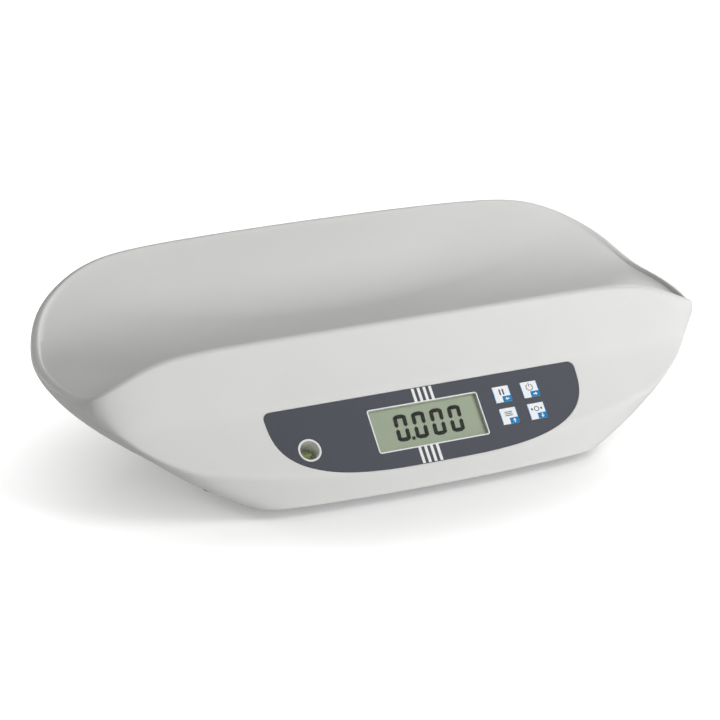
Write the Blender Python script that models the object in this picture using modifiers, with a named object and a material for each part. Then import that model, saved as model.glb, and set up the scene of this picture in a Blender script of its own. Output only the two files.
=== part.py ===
"""Digital baby weighing scale, as separate pieces at their real size.

Metres, +X to the right, +Y to the back, +Z up. The origin is on the floor, under the middle of the scale.
The weighed half is the one-piece shell with its tray, panel and electronics. It stands on a load cell,
which stands on the base with its batteries and four levelling feet.
"""

import math

import bmesh
import bpy
import numpy as np
from mathutils import Matrix, Vector

# Fits, shared by every piece
GAP = 0.0003
SIDE_GAP = 0.0004
CUT_OVERRUN = 0.002
ROUND_SIDES = 20

# Shell: the base outline, at the shell's lower edge
BASE_Z = 0.011
BASE_HALF_LENGTH = 0.192
BASE_FRONT = -0.154
BASE_BACK = 0.098
BASE_CORNER_POWER = 7.5
BASE_FRONT_BOW_SHARE = 0.05
BASE_END_BOW_SHARE = 0.12

# Shell: the rim outline, before the front is cut by the panel
RIM_HALF_LENGTH = 0.312
RIM_FRONT = -0.144
RIM_BACK = 0.148
RIM_FRONT_POWER = 8.4
RIM_BACK_POWER = 6.0
RIM_FRONT_BOW_SHARE = 0.11
RIM_END_BOW_SHARE = 0.125

# Shell: rim heights round the outline, from the front over the end to the back
RIM_Z_FRONT = 0.1405
RIM_Z_FRONT_CORNER = 0.138
RIM_Z_FRONT_TURN = 0.111
RIM_Z_END = 0.1082
RIM_Z_BACK_TURN = 0.119
RIM_Z_BACK_CORNER = 0.1615
RIM_Z_BACK = 0.1645
RIM_CORNER_ANGLE = math.radians(70)
RIM_TURN_ANGLE = math.radians(10)

# Shell: how the wall flares from the base to the rim, along, across and at the corners
FLARE_LENGTH_POWER = 1.6
FLARE_DEPTH_POWER = 1.7
FLARE_FRONT_CORNER_POWER = 2.45
FLARE_BACK_CORNER_POWER = 1.75

# Shell: the panel plane and the band above it
CREASE_Y = -0.099
CREASE_Z = 0.085
PANEL_TILT = math.radians(45)
BAND_LEAN = math.radians(17)

# Shell: walls and rim
WALL = 0.003
EDGE_WALL = 0.003
RIM_CHAMFER = 0.002
LIP_WIDTH = 0.008
LIP_DROP = 0.003
POCKET_DEPTH_UNDER_RIM = 0.014

# Tray
TRAY_FLOOR_Z = 0.100
TRAY_CENTRE_Y = 0.020
TRAY_FRONT_Y = -0.075
TRAY_FRONT_POWER = 2.2
TRAY_BACK_POWER = 2.3
TRAY_EDGE_POWER = 3.0
TRAY_RING_SHARES = (0.88, 0.74, 0.57, 0.38, 0.19)
ROUNDING_PASSES = 2

# Surface resolution
COLUMNS = 84
CORNER_POINTS_SHARE = 0.45
DENSE_POINTS = 4000
LOWER_RING_SHARES = (0.0, 0.4, 0.75)
MIDDLE_RING_SHARES = (0.0, 0.35, 0.7)
UPPER_RING_SHARES = (0.0, 0.35, 0.7, 1.0)
INNER_LOWER_SHARES = (0.5, 1.0)
INNER_MIDDLE_SHARES = (0.5, 1.0)
INNER_UPPER_SHARES = (0.5, 1.0)
INNER_SPARE_SHARE = 0.45
LEAST_STEP_SHARE = 0.03
SPARE_STEP_SHARE = 0.25
CROSSING_STEPS = 200
INNER_STEPS = 61

# Panel overlay, seen along the panel: u to the right, v up it, from the display's centre
DISPLAY_CENTRE_Z = 0.058
OVERLAY_TOP = 0.034
OVERLAY_HALF_WIDTH = 0.151
OVERLAY_OFFSET = 0.004
OVERLAY_DROP = 0.0705
OVERLAY_POWER = 3.1
OVERLAY_CORNER_RADIUS = 0.006
OVERLAY_THICKNESS = 0.0008
OVERLAY_POINTS = 48
OVERLAY_CORNER_POINTS = 6

# Display
WINDOW_WIDTH = 0.105
WINDOW_HEIGHT = 0.0396
WINDOW_THICKNESS = 0.003
LCD_MARGIN = 0.003
LCD_THICKNESS = 0.0028
LCD_FRAME_WALL = 0.002
LCD_FRAME_LIP = 0.0014

# Keys
KEY_WIDTH = 0.0167
KEY_HEIGHT = 0.0152
KEY_PITCH_U = 0.028
KEY_PITCH_V = 0.0212
KEY_GROUP_INSET = 0.0643
KEY_GROUP_V = 0.0032
KEY_STAND_OUT = 0.0005
KEY_CORNER_RADIUS = 0.0012
KEY_TRAVEL = 0.0005
KEY_FLANGE_WIDTH = 0.0012
KEY_FLANGE_THICKNESS = 0.001
KEY_STEM_RADIUS = 0.002
KEY_STEM_LENGTH = 0.0032
SWITCH_SIDE = 0.0078
SWITCH_WELL_EXTRA = 0.0006
SWITCH_CLEARANCE = 0.0008
KEY_NAMES = (("hold", 0, 0), ("power", 1, 0), ("print", 0, 1), ("tare", 1, 1))

# Main board, parallel to the panel
BOARD_LEFT = -0.072
BOARD_RIGHT_INSET = 0.027
BOARD_TOP = 0.027
BOARD_BOTTOM = -0.027
BOARD_DEPTH = 0.0098
BOARD_THICKNESS = 0.0016
BOARD_BOSS_RADIUS = 0.0035
BOARD_SCREW_INSET = 0.005
BOARD_SCREW_SHANK = 0.0012
BOARD_SCREW_LENGTH = 0.006
BOARD_SCREW_HEAD = 0.0025
BOARD_SCREW_HEAD_HEIGHT = 0.0016
CHIP_SIDE = 0.012
CHIP_THICKNESS = 0.0016
CHIP_U = -0.02
CONNECTOR_WIDTH = 0.012
CONNECTOR_DEPTH = 0.006
CONNECTOR_HEIGHT = 0.007
CONNECTOR_U = 0.038

# Bull's-eye level, seen through a round window in the panel
LEVEL_INSET = 0.0323
LEVEL_V = -0.0059
LEVEL_RADIUS = 0.0104
LEVEL_WALL = 0.0016
LEVEL_WELL_LENGTH = 0.027
LEVEL_SEAT_DEPTH = 0.0165
LEVEL_FLANGE_WIDTH = 0.003
LEVEL_FLANGE_THICKNESS = 0.002
VIAL_RADIUS = 0.0065
VIAL_HEIGHT = 0.006

# Load cell and what joins it to the two halves
CELL_LENGTH = 0.130
CELL_WIDTH = 0.030
CELL_HEIGHT = 0.022
CELL_Y = 0.002
CELL_HOLE_RADIUS = 0.0075
CELL_HOLE_SPACING = 0.028
CELL_SLOT_HEIGHT = 0.006
SPACER_LENGTH = 0.030
SPACER_HEIGHT = 0.006
CELL_SCREW_RADIUS = 0.003
CELL_SCREW_SPACING = 0.014
CELL_SCREW_DEPTH = 0.008
CELL_SCREW_HEAD_RADIUS = 0.005
CELL_SCREW_HEAD_HEIGHT = 0.0028
SCREW_CLEARANCE = 0.0004
STOP_RADIUS = 0.004
STOP_GAP = 0.0009

# Tray support, the steel plate under the shell
SUPPORT_LENGTH = 0.264
SUPPORT_WIDTH = 0.116
SUPPORT_THICKNESS = 0.003
SUPPORT_CORNER_RADIUS = 0.012
SUPPORT_WAIST_LENGTH = 0.120
SUPPORT_WAIST_DEPTH = 0.028
SHELL_BOSS_RADIUS = 0.006
SHELL_BOSS_INSET = 0.014
SHELL_SCREW_SHANK = 0.002
SHELL_SCREW_LENGTH = 0.014
SHELL_SCREW_HEAD = 0.004
SHELL_SCREW_HEAD_HEIGHT = 0.0026

# Base
BASE_FLOOR = 0.003
BASE_WALL = 0.003
BASE_WALL_HEIGHT = 0.013
BASE_CLEARANCE = 0.004
BASE_POINTS = 72
FOOT_FRONT_INSET = 0.015
FOOT_FRONT_Y = -0.058
FOOT_BACK_INSET = 0.042
FOOT_BACK_Y = 0.058
FOOT_RADIUS = 0.010
FOOT_HEIGHT = 0.0092
FOOT_WAIST_SHARE = 0.82
STUD_RADIUS = 0.003
STUD_LENGTH = 0.020
STUD_COLLAR_RADIUS = 0.006
STUD_COLLAR_HEIGHT = 0.0012
STUD_SOCKET_DEPTH = 0.005
STUD_CLEARANCE = 0.0003
FOOT_BOSS_RADIUS = 0.007
FOOT_BOSS_HEIGHT = 0.010

# Batteries and their bay
CELL_COUNT_ALONG = 2
CELL_ROWS = 3
BATTERY_RADIUS = 0.00705
BATTERY_LENGTH = 0.0495
BATTERY_NUB_RADIUS = 0.0027
BATTERY_NUB_LENGTH = 0.001
BATTERY_SPACE = 0.0005
BATTERY_SPRING_ROOM = 0.0032
BAY_CENTRE_Y = 0.050
BAY_WALL = 0.002
BAY_FLANGE = 0.002
CONTACT_THICKNESS = 0.0006
CONTACT_HEIGHT = 0.010
DOOR_THICKNESS = 0.002
DOOR_CLEARANCE = 0.0008
DOOR_OVERLAP = 0.003
DOOR_GRIP_WIDTH = 0.020
DOOR_GRIP_DEPTH = 0.0012
DOOR_GRIP_HEIGHT = 0.001
DOOR_GRIP_COUNT = 4
DOOR_GRIP_PITCH = 0.003
RAIL_WALL = 0.002
RAIL_LIP = 0.003
RAIL_LIP_THICKNESS = 0.002

# Sockets at the back
PORT_Z = 0.046
PORT_HEIGHT = 0.026
PORT_WIDTH = 0.070
PORT_WALL = 0.002
PORT_FACE_Y = 0.086
DC_U = -0.020
DC_RADIUS = 0.0055
DC_BORE_RADIUS = 0.0032
DC_LENGTH = 0.012
DC_BORE_DEPTH = 0.008
DATA_U = 0.010
DATA_WIDTH = 0.030
DATA_HEIGHT = 0.0115
DATA_LENGTH = 0.010
DATA_MOUTH_WALL = 0.0012
DATA_MOUTH_DEPTH = 0.005
SOCKET_STAND_OUT = 0.003

# Load cell lead
LEAD_RADIUS = 0.0018
LEAD_POINTS = 22


def material(name, colour, roughness, metallic=0.0, transmission=0.0):
    """A plain surface with the colour and gloss of one real finish."""
    finish = bpy.data.materials.new(name)
    finish.use_nodes = True
    shader = finish.node_tree.nodes["Principled BSDF"]
    shader.inputs["Base Color"].default_value = (*colour, 1.0)
    shader.inputs["Roughness"].default_value = roughness
    shader.inputs["Metallic"].default_value = metallic
    shader.inputs["Transmission Weight"].default_value = transmission
    finish.diffuse_color = (*colour, 1.0)
    return finish


def clear_scene():
    for item in list(bpy.data.objects):
        bpy.data.objects.remove(item, do_unlink=True)


def new_collection(name):
    collection = bpy.data.collections.new(name)
    bpy.context.scene.collection.children.link(collection)
    return collection


clear_scene()
PARTS = new_collection("baby_scale")
CUTTERS = new_collection("cutters")

FINISHES = {
    "shell": material("white_abs", (0.86, 0.86, 0.85), 0.42),
    "base": material("grey_abs", (0.55, 0.56, 0.57), 0.55),
    "overlay": material("slate_foil", (0.09, 0.095, 0.115), 0.38),
    "window": material("clear_window", (0.75, 0.80, 0.72), 0.12, 0.0, 0.8),
    "lcd": material("lcd_glass", (0.29, 0.37, 0.26), 0.25),
    "frame": material("black_plastic", (0.03, 0.03, 0.03), 0.5),
    "key": material("white_key", (0.85, 0.86, 0.87), 0.4),
    "board": material("green_board", (0.03, 0.16, 0.06), 0.5),
    "chip": material("black_epoxy", (0.02, 0.02, 0.02), 0.45),
    "vial": material("level_liquid", (0.62, 0.78, 0.30), 0.1, 0.0, 0.6),
    "well": material("level_well", (0.80, 0.80, 0.80), 0.4),
    "aluminium": material("aluminium", (0.78, 0.79, 0.80), 0.35, 1.0),
    "steel": material("zinc_steel", (0.60, 0.61, 0.63), 0.35, 1.0),
    "rubber": material("black_rubber", (0.02, 0.02, 0.02), 0.8),
    "battery": material("battery_jacket", (0.10, 0.12, 0.35), 0.4),
    "contact": material("nickel_strip", (0.70, 0.68, 0.62), 0.3, 1.0),
    "cable": material("grey_cable", (0.25, 0.25, 0.26), 0.6),
}


def finish_object(item, finish, collection=None):
    """Puts an object in the parts or, as a helper, in the cutters."""
    for owner in list(item.users_collection):
        owner.objects.unlink(item)
    (collection or PARTS).objects.link(item)
    item.data.materials.clear()
    if finish:
        item.data.materials.append(FINISHES[finish])
    if collection is CUTTERS:
        item.hide_render = True
        item.display_type = "WIRE"
    return item


def object_from_bmesh(name, shape, finish, collection=None):
    mesh = bpy.data.meshes.new(name)
    shape.to_mesh(mesh)
    shape.free()
    item = bpy.data.objects.new(name, mesh)
    return finish_object(item, finish, collection)


def smooth(item, degrees=35):
    item.data.shade_smooth()
    item.data.set_sharp_from_angle(angle=math.radians(degrees))
    return item


def box(name, low, high, finish=None, frame=None, collection=None, round_edges=0.0):
    """A box between two corners, in a frame of its own or in the world's."""
    shape = bmesh.new()
    bmesh.ops.create_cube(shape, size=1.0)
    size = [top - bottom for bottom, top in zip(low, high)]
    middle = [(top + bottom) / 2 for bottom, top in zip(low, high)]
    shape.transform(Matrix.Translation(middle) @ Matrix.Diagonal((*size, 1.0)))
    if round_edges:
        bmesh.ops.bevel(shape, geom=shape.edges[:], offset=round_edges, segments=2, affect="EDGES")
    if frame is not None:
        shape.transform(frame)
    return object_from_bmesh(name, shape, finish, collection)


def cylinder(name, radius, low, high, finish=None, frame=None, collection=None, sides=ROUND_SIDES):
    """A cylinder along its frame's third axis, from low to high."""
    shape = bmesh.new()
    bmesh.ops.create_cone(
        shape, cap_ends=True, segments=sides, radius1=radius, radius2=radius, depth=high - low
    )
    shape.transform(Matrix.Translation((0, 0, (high + low) / 2)))
    if frame is not None:
        shape.transform(frame)
    return smooth(object_from_bmesh(name, shape, finish, collection))


def turned(name, profile, finish, place, sides=ROUND_SIDES):
    """A profile of (radius, height) points, from the top down its outer side, turned round +Z."""
    mesh = bpy.data.meshes.new(name)
    points = [(radius, 0.0, height) for radius, height in profile]
    mesh.from_pydata(points, [(i, i + 1) for i in range(len(points) - 1)], [])
    item = finish_object(bpy.data.objects.new(name, mesh), finish)
    screw = item.modifiers.new("turn", "SCREW")
    screw.steps = sides
    screw.render_steps = sides
    screw.use_merge_vertices = True
    screw.merge_threshold = 0.00001
    screw.use_smooth_shade = False
    item.location = place
    return item


def prism(name, outline, low, high, finish=None, frame=None, collection=None):
    """A flat outline, anticlockwise, made solid from low to high along the third axis."""
    shape = bmesh.new()
    base = [shape.verts.new((x, y, low)) for x, y in outline]
    top = [shape.verts.new((x, y, high)) for x, y in outline]
    shape.faces.new(base[::-1])
    shape.faces.new(top)
    for i in range(len(base)):
        j = (i + 1) % len(base)
        shape.faces.new((base[i], base[j], top[j], top[i]))
    bmesh.ops.recalc_face_normals(shape, faces=shape.faces[:])
    if frame is not None:
        shape.transform(frame)
    return object_from_bmesh(name, shape, finish, collection)


def combine(item, other, operation="DIFFERENCE"):
    """Cuts, joins or trims an object with another, which becomes a hidden helper."""
    step = item.modifiers.new(other.name, "BOOLEAN")
    step.operation = operation
    step.solver = "EXACT"
    step.object = other
    if other.name not in CUTTERS.objects:
        finish_object(other, None, CUTTERS)
    other.hide_render = True
    other.display_type = "WIRE"
    return item


def rounded_rectangle(width, height, radius, centre=(0.0, 0.0), points=OVERLAY_CORNER_POINTS):
    """An anticlockwise rectangle with arcs at its corners."""
    outline = []
    for quarter, (sx, sy) in enumerate(((1, 1), (-1, 1), (-1, -1), (1, -1))):
        corner = (centre[0] + sx * (width / 2 - radius), centre[1] + sy * (height / 2 - radius))
        for step in range(points):
            angle = math.pi / 2 * (quarter + step / (points - 1))
            outline.append(
                (corner[0] + radius * math.cos(angle), corner[1] + radius * math.sin(angle))
            )
    return outline


def signed_power(value, power):
    return np.sign(value) * np.abs(value) ** power


def plan_outline(angle, half_length, front, back, front_power, back_power, front_bow, end_bow):
    """A rounded rectangle whose front, back and ends are bowed: x and y at each outline angle."""
    power = np.where(np.sin(angle) < 0, front_power, back_power)
    along = signed_power(np.cos(angle), 2 / power)
    across = signed_power(np.sin(angle), 2 / power)
    middle = (front + back) / 2
    half_depth = (back - front) / 2
    x = half_length * along * (1 - end_bow * across**2)
    y = middle + half_depth * across * (1 - front_bow * along**2)
    return x, y


def base_outline(angle):
    return plan_outline(
        angle,
        BASE_HALF_LENGTH,
        BASE_FRONT,
        BASE_BACK,
        BASE_CORNER_POWER,
        BASE_CORNER_POWER,
        BASE_FRONT_BOW_SHARE,
        BASE_END_BOW_SHARE,
    )


def rim_outline(angle):
    return plan_outline(
        angle,
        RIM_HALF_LENGTH,
        RIM_FRONT,
        RIM_BACK,
        RIM_FRONT_POWER,
        RIM_BACK_POWER,
        RIM_FRONT_BOW_SHARE,
        RIM_END_BOW_SHARE,
    )


def ease_through(places, values, where):
    """A smooth curve through a few values that never swings past them."""
    places = np.asarray(places, float)
    values = np.asarray(values, float)
    steps = np.diff(values) / np.diff(places)
    slopes = np.zeros(len(values))
    for i in range(1, len(values) - 1):
        if steps[i - 1] * steps[i] > 0:
            slopes[i] = 2 * steps[i - 1] * steps[i] / (steps[i - 1] + steps[i])
    k = np.clip(np.searchsorted(places, where) - 1, 0, len(places) - 2)
    width = places[k + 1] - places[k]
    t = (where - places[k]) / width
    start = (1 + 2 * t) * (1 - t) ** 2 * values[k] + t * (1 - t) ** 2 * width * slopes[k]
    end = t**2 * (3 - 2 * t) * values[k + 1] + t**2 * (t - 1) * width * slopes[k + 1]
    return start + end


def rim_height(angle):
    """The rim is low at the ends, higher at the front and highest at the back."""
    lift = np.arcsin(np.clip(np.sin(angle), -1, 1))
    quarter = math.pi / 2
    far = (-quarter, -RIM_CORNER_ANGLE, -RIM_TURN_ANGLE)
    places = (*far, 0.0, *(-place for place in reversed(far)))
    front = (RIM_Z_FRONT, RIM_Z_FRONT_CORNER, RIM_Z_FRONT_TURN)
    back = (RIM_Z_BACK_TURN, RIM_Z_BACK_CORNER, RIM_Z_BACK)
    return ease_through(places, (*front, RIM_Z_END, *back), lift)


def hull(angle, share):
    """The outer wall before the front is cut, from the base (share 0) to the rim (share 1)."""
    base_x, base_y = base_outline(angle)
    rim_x, rim_y = rim_outline(angle)
    at_corner = np.sin(2 * angle) ** 2
    corner_power = np.where(np.sin(angle) < 0, FLARE_FRONT_CORNER_POWER, FLARE_BACK_CORNER_POWER)
    along_power = FLARE_LENGTH_POWER + (corner_power - FLARE_LENGTH_POWER) * at_corner
    across_power = FLARE_DEPTH_POWER + (corner_power - FLARE_DEPTH_POWER) * at_corner
    along = 1 - (1 - share) ** along_power
    across = 1 - (1 - share) ** across_power
    x = base_x + (rim_x - base_x) * along
    y = base_y + (rim_y - base_y) * across
    z = BASE_Z + (rim_height(angle) - BASE_Z) * share
    return np.stack([x, y, z], axis=-1)


def front_limit(z, inset=0.0):
    """The foremost y at a height: the panel plane, and above the crease the band."""
    panel = CREASE_Y + (z - CREASE_Z) * math.tan(PANEL_TILT) + inset / math.cos(PANEL_TILT)
    band = CREASE_Y + (z - CREASE_Z) * math.tan(BAND_LEAN) + inset / math.cos(BAND_LEAN)
    return np.minimum(panel, band)


def cut_front(points, inset=0.0):
    points = points.copy()
    points[..., 1] = np.maximum(points[..., 1], front_limit(points[..., 2], inset))
    return points


def column_angles():
    """Outline angles that share the rim's length evenly, with more of them at the corners."""
    quarter = math.pi / 2
    dense = np.linspace(-quarter, quarter, DENSE_POINTS)
    rim = cut_front(hull(dense, 1.0))
    length = np.linalg.norm(np.diff(rim, axis=0), axis=1)
    turn = np.diff(dense)
    weight = length / length.sum() + CORNER_POINTS_SHARE * turn / turn.sum()
    run = np.concatenate([[0.0], np.cumsum(weight)])
    half = np.interp(np.linspace(0, run[-1], COLUMNS // 2 + 1), run, dense)
    return np.concatenate([half, (math.pi - half[::-1])[1:-1]])


def break_shares(angle):
    """Two height shares for each column, on the creases where it crosses them."""
    shares = np.linspace(0, 1, CROSSING_STEPS + 1)
    first, second = [], []
    for one in angle:
        points = hull(np.full(len(shares), one), shares)
        ahead = points[:, 1] - front_limit(points[:, 2])
        crease = float(np.interp(CREASE_Z, points[:, 2], shares))
        hidden = np.flatnonzero(ahead < 0)
        if len(hidden) and hidden[0] > 0:
            i = hidden[0]
            span = ahead[i - 1] - ahead[i]
            crossing = shares[i - 1] + (shares[i] - shares[i - 1]) * ahead[i - 1] / span
        else:
            crossing = crease + SPARE_STEP_SHARE * (1 - crease)
        low, high = sorted((crossing, crease))
        if high - low < LEAST_STEP_SHARE:
            if crossing < crease:
                low = high - LEAST_STEP_SHARE
            else:
                high = low + LEAST_STEP_SHARE
        first.append(low)
        second.append(high)
    return np.array(first), np.array(second)


def plan_inset(ring, distance):
    """A closed ring of points moved inwards, seen from above."""
    side = np.roll(ring, -1, axis=0) - np.roll(ring, 1, axis=0)
    normal = np.stack([-side[:, 1], side[:, 0]], axis=1)
    normal /= np.linalg.norm(normal, axis=1)[:, None]
    moved = ring.copy()
    moved[:, :2] += distance * normal
    return moved


def surface_normals(rows):
    """Outward normals of the hull's rows of points."""
    around = np.roll(rows, -1, axis=1) - np.roll(rows, 1, axis=1)
    up = np.gradient(rows, axis=0)
    normal = np.cross(around, up)
    return normal / np.linalg.norm(normal, axis=2)[..., None]


def outer_rings(angle):
    first, second = break_shares(angle)
    rings = []
    for share in LOWER_RING_SHARES:
        rings.append(cut_front(hull(angle, first * share)))
    for share in MIDDLE_RING_SHARES:
        rings.append(cut_front(hull(angle, first + (second - first) * share)))
    for share in UPPER_RING_SHARES:
        rings.append(cut_front(hull(angle, second + (1 - second) * share)))
    rim = rings[-1].copy()
    rings[-1][:, 2] -= RIM_CHAMFER
    crest = plan_inset(rim, RIM_CHAMFER)
    lip = plan_inset(rim, LIP_WIDTH)
    lip[:, 2] -= LIP_DROP
    return rings + [crest, lip]


def trough_height(y):
    """The tray's section: a nearly flat floor that curves up to the front and back walls."""
    ahead = np.clip((TRAY_CENTRE_Y - y) / (TRAY_CENTRE_Y - TRAY_FRONT_Y), 0, None)
    behind = np.clip((y - TRAY_CENTRE_Y) / (RIM_BACK - TRAY_CENTRE_Y), 0, None)
    rise = (RIM_Z_FRONT - TRAY_FLOOR_Z) * ahead**TRAY_FRONT_POWER
    return TRAY_FLOOR_Z + rise + (RIM_Z_BACK - TRAY_FLOOR_Z) * behind**TRAY_BACK_POWER


def tray_rings(lip, drop=0.0):
    """Rings of the tray, drawn in from the lip to its centre, each rounder than the last."""
    centre = np.array([0.0, TRAY_CENTRE_Y])
    round_lip = lip
    rings = []
    for share in TRAY_RING_SHARES:
        for _ in range(ROUNDING_PASSES):
            sides = np.roll(round_lip, 1, axis=0) + np.roll(round_lip, -1, axis=0)
            round_lip = (2 * round_lip + sides) / 4
        ring = round_lip.copy()
        ring[:, :2] = centre + (round_lip[:, :2] - centre) * share
        over = round_lip[:, 2] - trough_height(round_lip[:, 1])
        ring[:, 2] = trough_height(ring[:, 1]) + over * share**TRAY_EDGE_POWER - drop
        rings.append(ring)
    return rings


def inner_crease_height():
    """Where the panel's and the band's inner faces meet."""
    panel = WALL / math.cos(PANEL_TILT)
    band = WALL / math.cos(BAND_LEAN)
    return CREASE_Z - (panel - band) / (math.tan(PANEL_TILT) - math.tan(BAND_LEAN))


def inner_rings(angle, lip):
    """The hollow under the tray, from the shell's lower edge up to the tray's underside."""
    shares = np.linspace(0, 1, INNER_STEPS)
    rows = np.array([hull(angle, share) for share in shares])
    inside = rows - WALL * surface_normals(rows)
    top = 1 - POCKET_DEPTH_UNDER_RIM / (rim_height(angle) - BASE_Z)
    crease = np.array(
        [np.interp(inner_crease_height(), column[:, 2], shares) for column in inside.swapaxes(0, 1)]
    )
    ahead = inside[:, :, 1] - front_limit(inside[:, :, 2], WALL)
    panel = INNER_SPARE_SHARE * crease
    for i in np.flatnonzero((ahead[0] > 0) & (ahead.min(axis=0) < 0)):
        crossing = shares[np.argmax(ahead[:, i] < 0)]
        if crossing < crease[i]:
            panel[i] = crossing
    levels = [panel * share for share in INNER_LOWER_SHARES]
    levels += [panel + (crease - panel) * share for share in INNER_MIDDLE_SHARES]
    levels += [crease + (top - crease) * share for share in INNER_UPPER_SHARES]
    rings = [plan_inset(cut_front(hull(angle, 0.0)), EDGE_WALL)]
    for level in levels:
        ring = np.stack(
            [
                [np.interp(level[i], shares, inside[:, i, axis]) for i in range(len(angle))]
                for axis in range(3)
            ],
            axis=1,
        )
        rings.append(cut_front(ring, WALL))
    return rings + tray_rings(lip, WALL)


def skin(name, rings, finish, collection=None):
    """One closed body through rings of as many points each, with a fan at both ends."""
    shape = bmesh.new()
    rows = [[shape.verts.new(point) for point in ring] for ring in rings]
    for below, above in zip(rows, rows[1:]):
        for i in range(len(below)):
            j = (i + 1) % len(below)
            quad = (below[i], below[j], above[j], above[i])
            if (quad[0].co - quad[2].co).length <= (quad[1].co - quad[3].co).length:
                shape.faces.new((quad[0], quad[1], quad[2]))
                shape.faces.new((quad[0], quad[2], quad[3]))
            else:
                shape.faces.new((quad[0], quad[1], quad[3]))
                shape.faces.new((quad[1], quad[2], quad[3]))
    for ring, row in ((rings[0], rows[0]), (rings[-1], rows[-1])):
        middle = shape.verts.new(fan_centre(ring))
        for i in range(len(row)):
            shape.faces.new((row[i], row[(i + 1) % len(row)], middle))
    bmesh.ops.recalc_face_normals(shape, faces=shape.faces[:])
    return smooth(object_from_bmesh(name, shape, finish, collection), 28)


def fan_centre(ring):
    """The tray's centre, at the height that the last ring reaches."""
    return (0.0, TRAY_CENTRE_Y, float(np.min(ring[:, 2])))


def panel_frame():
    """The panel's own axes: u to the right, v up the panel, w out of it, from the display's centre."""
    centre_y = CREASE_Y + (DISPLAY_CENTRE_Z - CREASE_Z) * math.tan(PANEL_TILT)
    up = Vector((0, math.sin(PANEL_TILT), math.cos(PANEL_TILT)))
    out = Vector((0, -math.cos(PANEL_TILT), math.sin(PANEL_TILT)))
    turn = Matrix((Vector((1, 0, 0)), up, out)).transposed().to_4x4()
    return Matrix.Translation((0, centre_y, DISPLAY_CENTRE_Z)) @ turn


PANEL = panel_frame()
RECESS_DEPTH = OVERLAY_THICKNESS + GAP
BOARD_FRONT = -BOARD_DEPTH
KEY_BACK = -WALL - GAP


def along_panel(u, v, w=0.0):
    """A frame on the panel, at a place along it."""
    return PANEL @ Matrix.Translation((u, v, w))


def level_u():
    """The level's place along the panel, from the foil's left end."""
    return OVERLAY_OFFSET - OVERLAY_HALF_WIDTH + LEVEL_INSET


def key_places():
    """Each key's name and its centre along the panel."""
    return [
        (
            name,
            OVERLAY_OFFSET + OVERLAY_HALF_WIDTH - KEY_GROUP_INSET + (column - 1 / 2) * KEY_PITCH_U,
            KEY_GROUP_V - (row - 1 / 2) * KEY_PITCH_V,
        )
        for name, column, row in KEY_NAMES
    ]


def board_right():
    """The board ends a set distance inside the foil's right end."""
    return OVERLAY_OFFSET + OVERLAY_HALF_WIDTH - BOARD_RIGHT_INSET


def board_screw_places():
    """The board's four screws, inside its corners."""
    return [
        (u, v)
        for u in (BOARD_LEFT + BOARD_SCREW_INSET, board_right() - BOARD_SCREW_INSET)
        for v in (BOARD_BOTTOM + BOARD_SCREW_INSET, BOARD_TOP - BOARD_SCREW_INSET)
    ]


def overlay_outline(grow=0.0):
    """The foil's outline: a straight top, and sides that run down into a bowed lower edge."""
    half_width = OVERLAY_HALF_WIDTH + grow
    drop = OVERLAY_DROP + 2 * grow
    top = OVERLAY_TOP + grow
    radius = OVERLAY_CORNER_RADIUS + grow
    outline = []
    for centre_u, start in ((half_width - radius, 0.0), (radius - half_width, math.pi / 2)):
        for step in range(OVERLAY_CORNER_POINTS):
            angle = start + math.pi / 2 * step / (OVERLAY_CORNER_POINTS - 1)
            u = OVERLAY_OFFSET + centre_u + radius * math.cos(angle)
            outline.append((u, top - radius + radius * math.sin(angle)))
    for step in range(1, OVERLAY_POINTS):
        angle = math.pi + math.pi * step / OVERLAY_POINTS
        u = half_width * signed_power(math.cos(angle), 2 / OVERLAY_POWER)
        v = drop * signed_power(math.sin(angle), 2 / OVERLAY_POWER)
        if v < -radius:
            outline.append((float(OVERLAY_OFFSET + u), float(top + v)))
    return outline


def under_tray(lip):
    """A closed body from below the bosses up to the middle of the tray's thickness."""
    foot = lip.copy()
    foot[:, 2] = SUPPORT_HIGH + GAP
    low = lip.copy()
    low[:, 2] = lip[:, 2] - POCKET_DEPTH_UNDER_RIM
    return skin("under_tray", [foot, low] + tray_rings(lip, WALL / 2), None, CUTTERS)


def support_screw_places():
    x = SUPPORT_LENGTH / 2 - SHELL_BOSS_INSET
    y = SUPPORT_WIDTH / 2 - SHELL_BOSS_INSET
    return [(sx * x, CELL_Y + sy * y) for sx in (-1, 1) for sy in (-1, 1)]


CELL_LOW = BASE_Z + BASE_FLOOR + GAP + SPACER_HEIGHT + GAP
CELL_HIGH = CELL_LOW + CELL_HEIGHT
SUPPORT_LOW = CELL_HIGH + GAP + SPACER_HEIGHT + GAP
SUPPORT_HIGH = SUPPORT_LOW + SUPPORT_THICKNESS
SPACER_X = CELL_LENGTH / 2 - SPACER_LENGTH / 2


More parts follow.
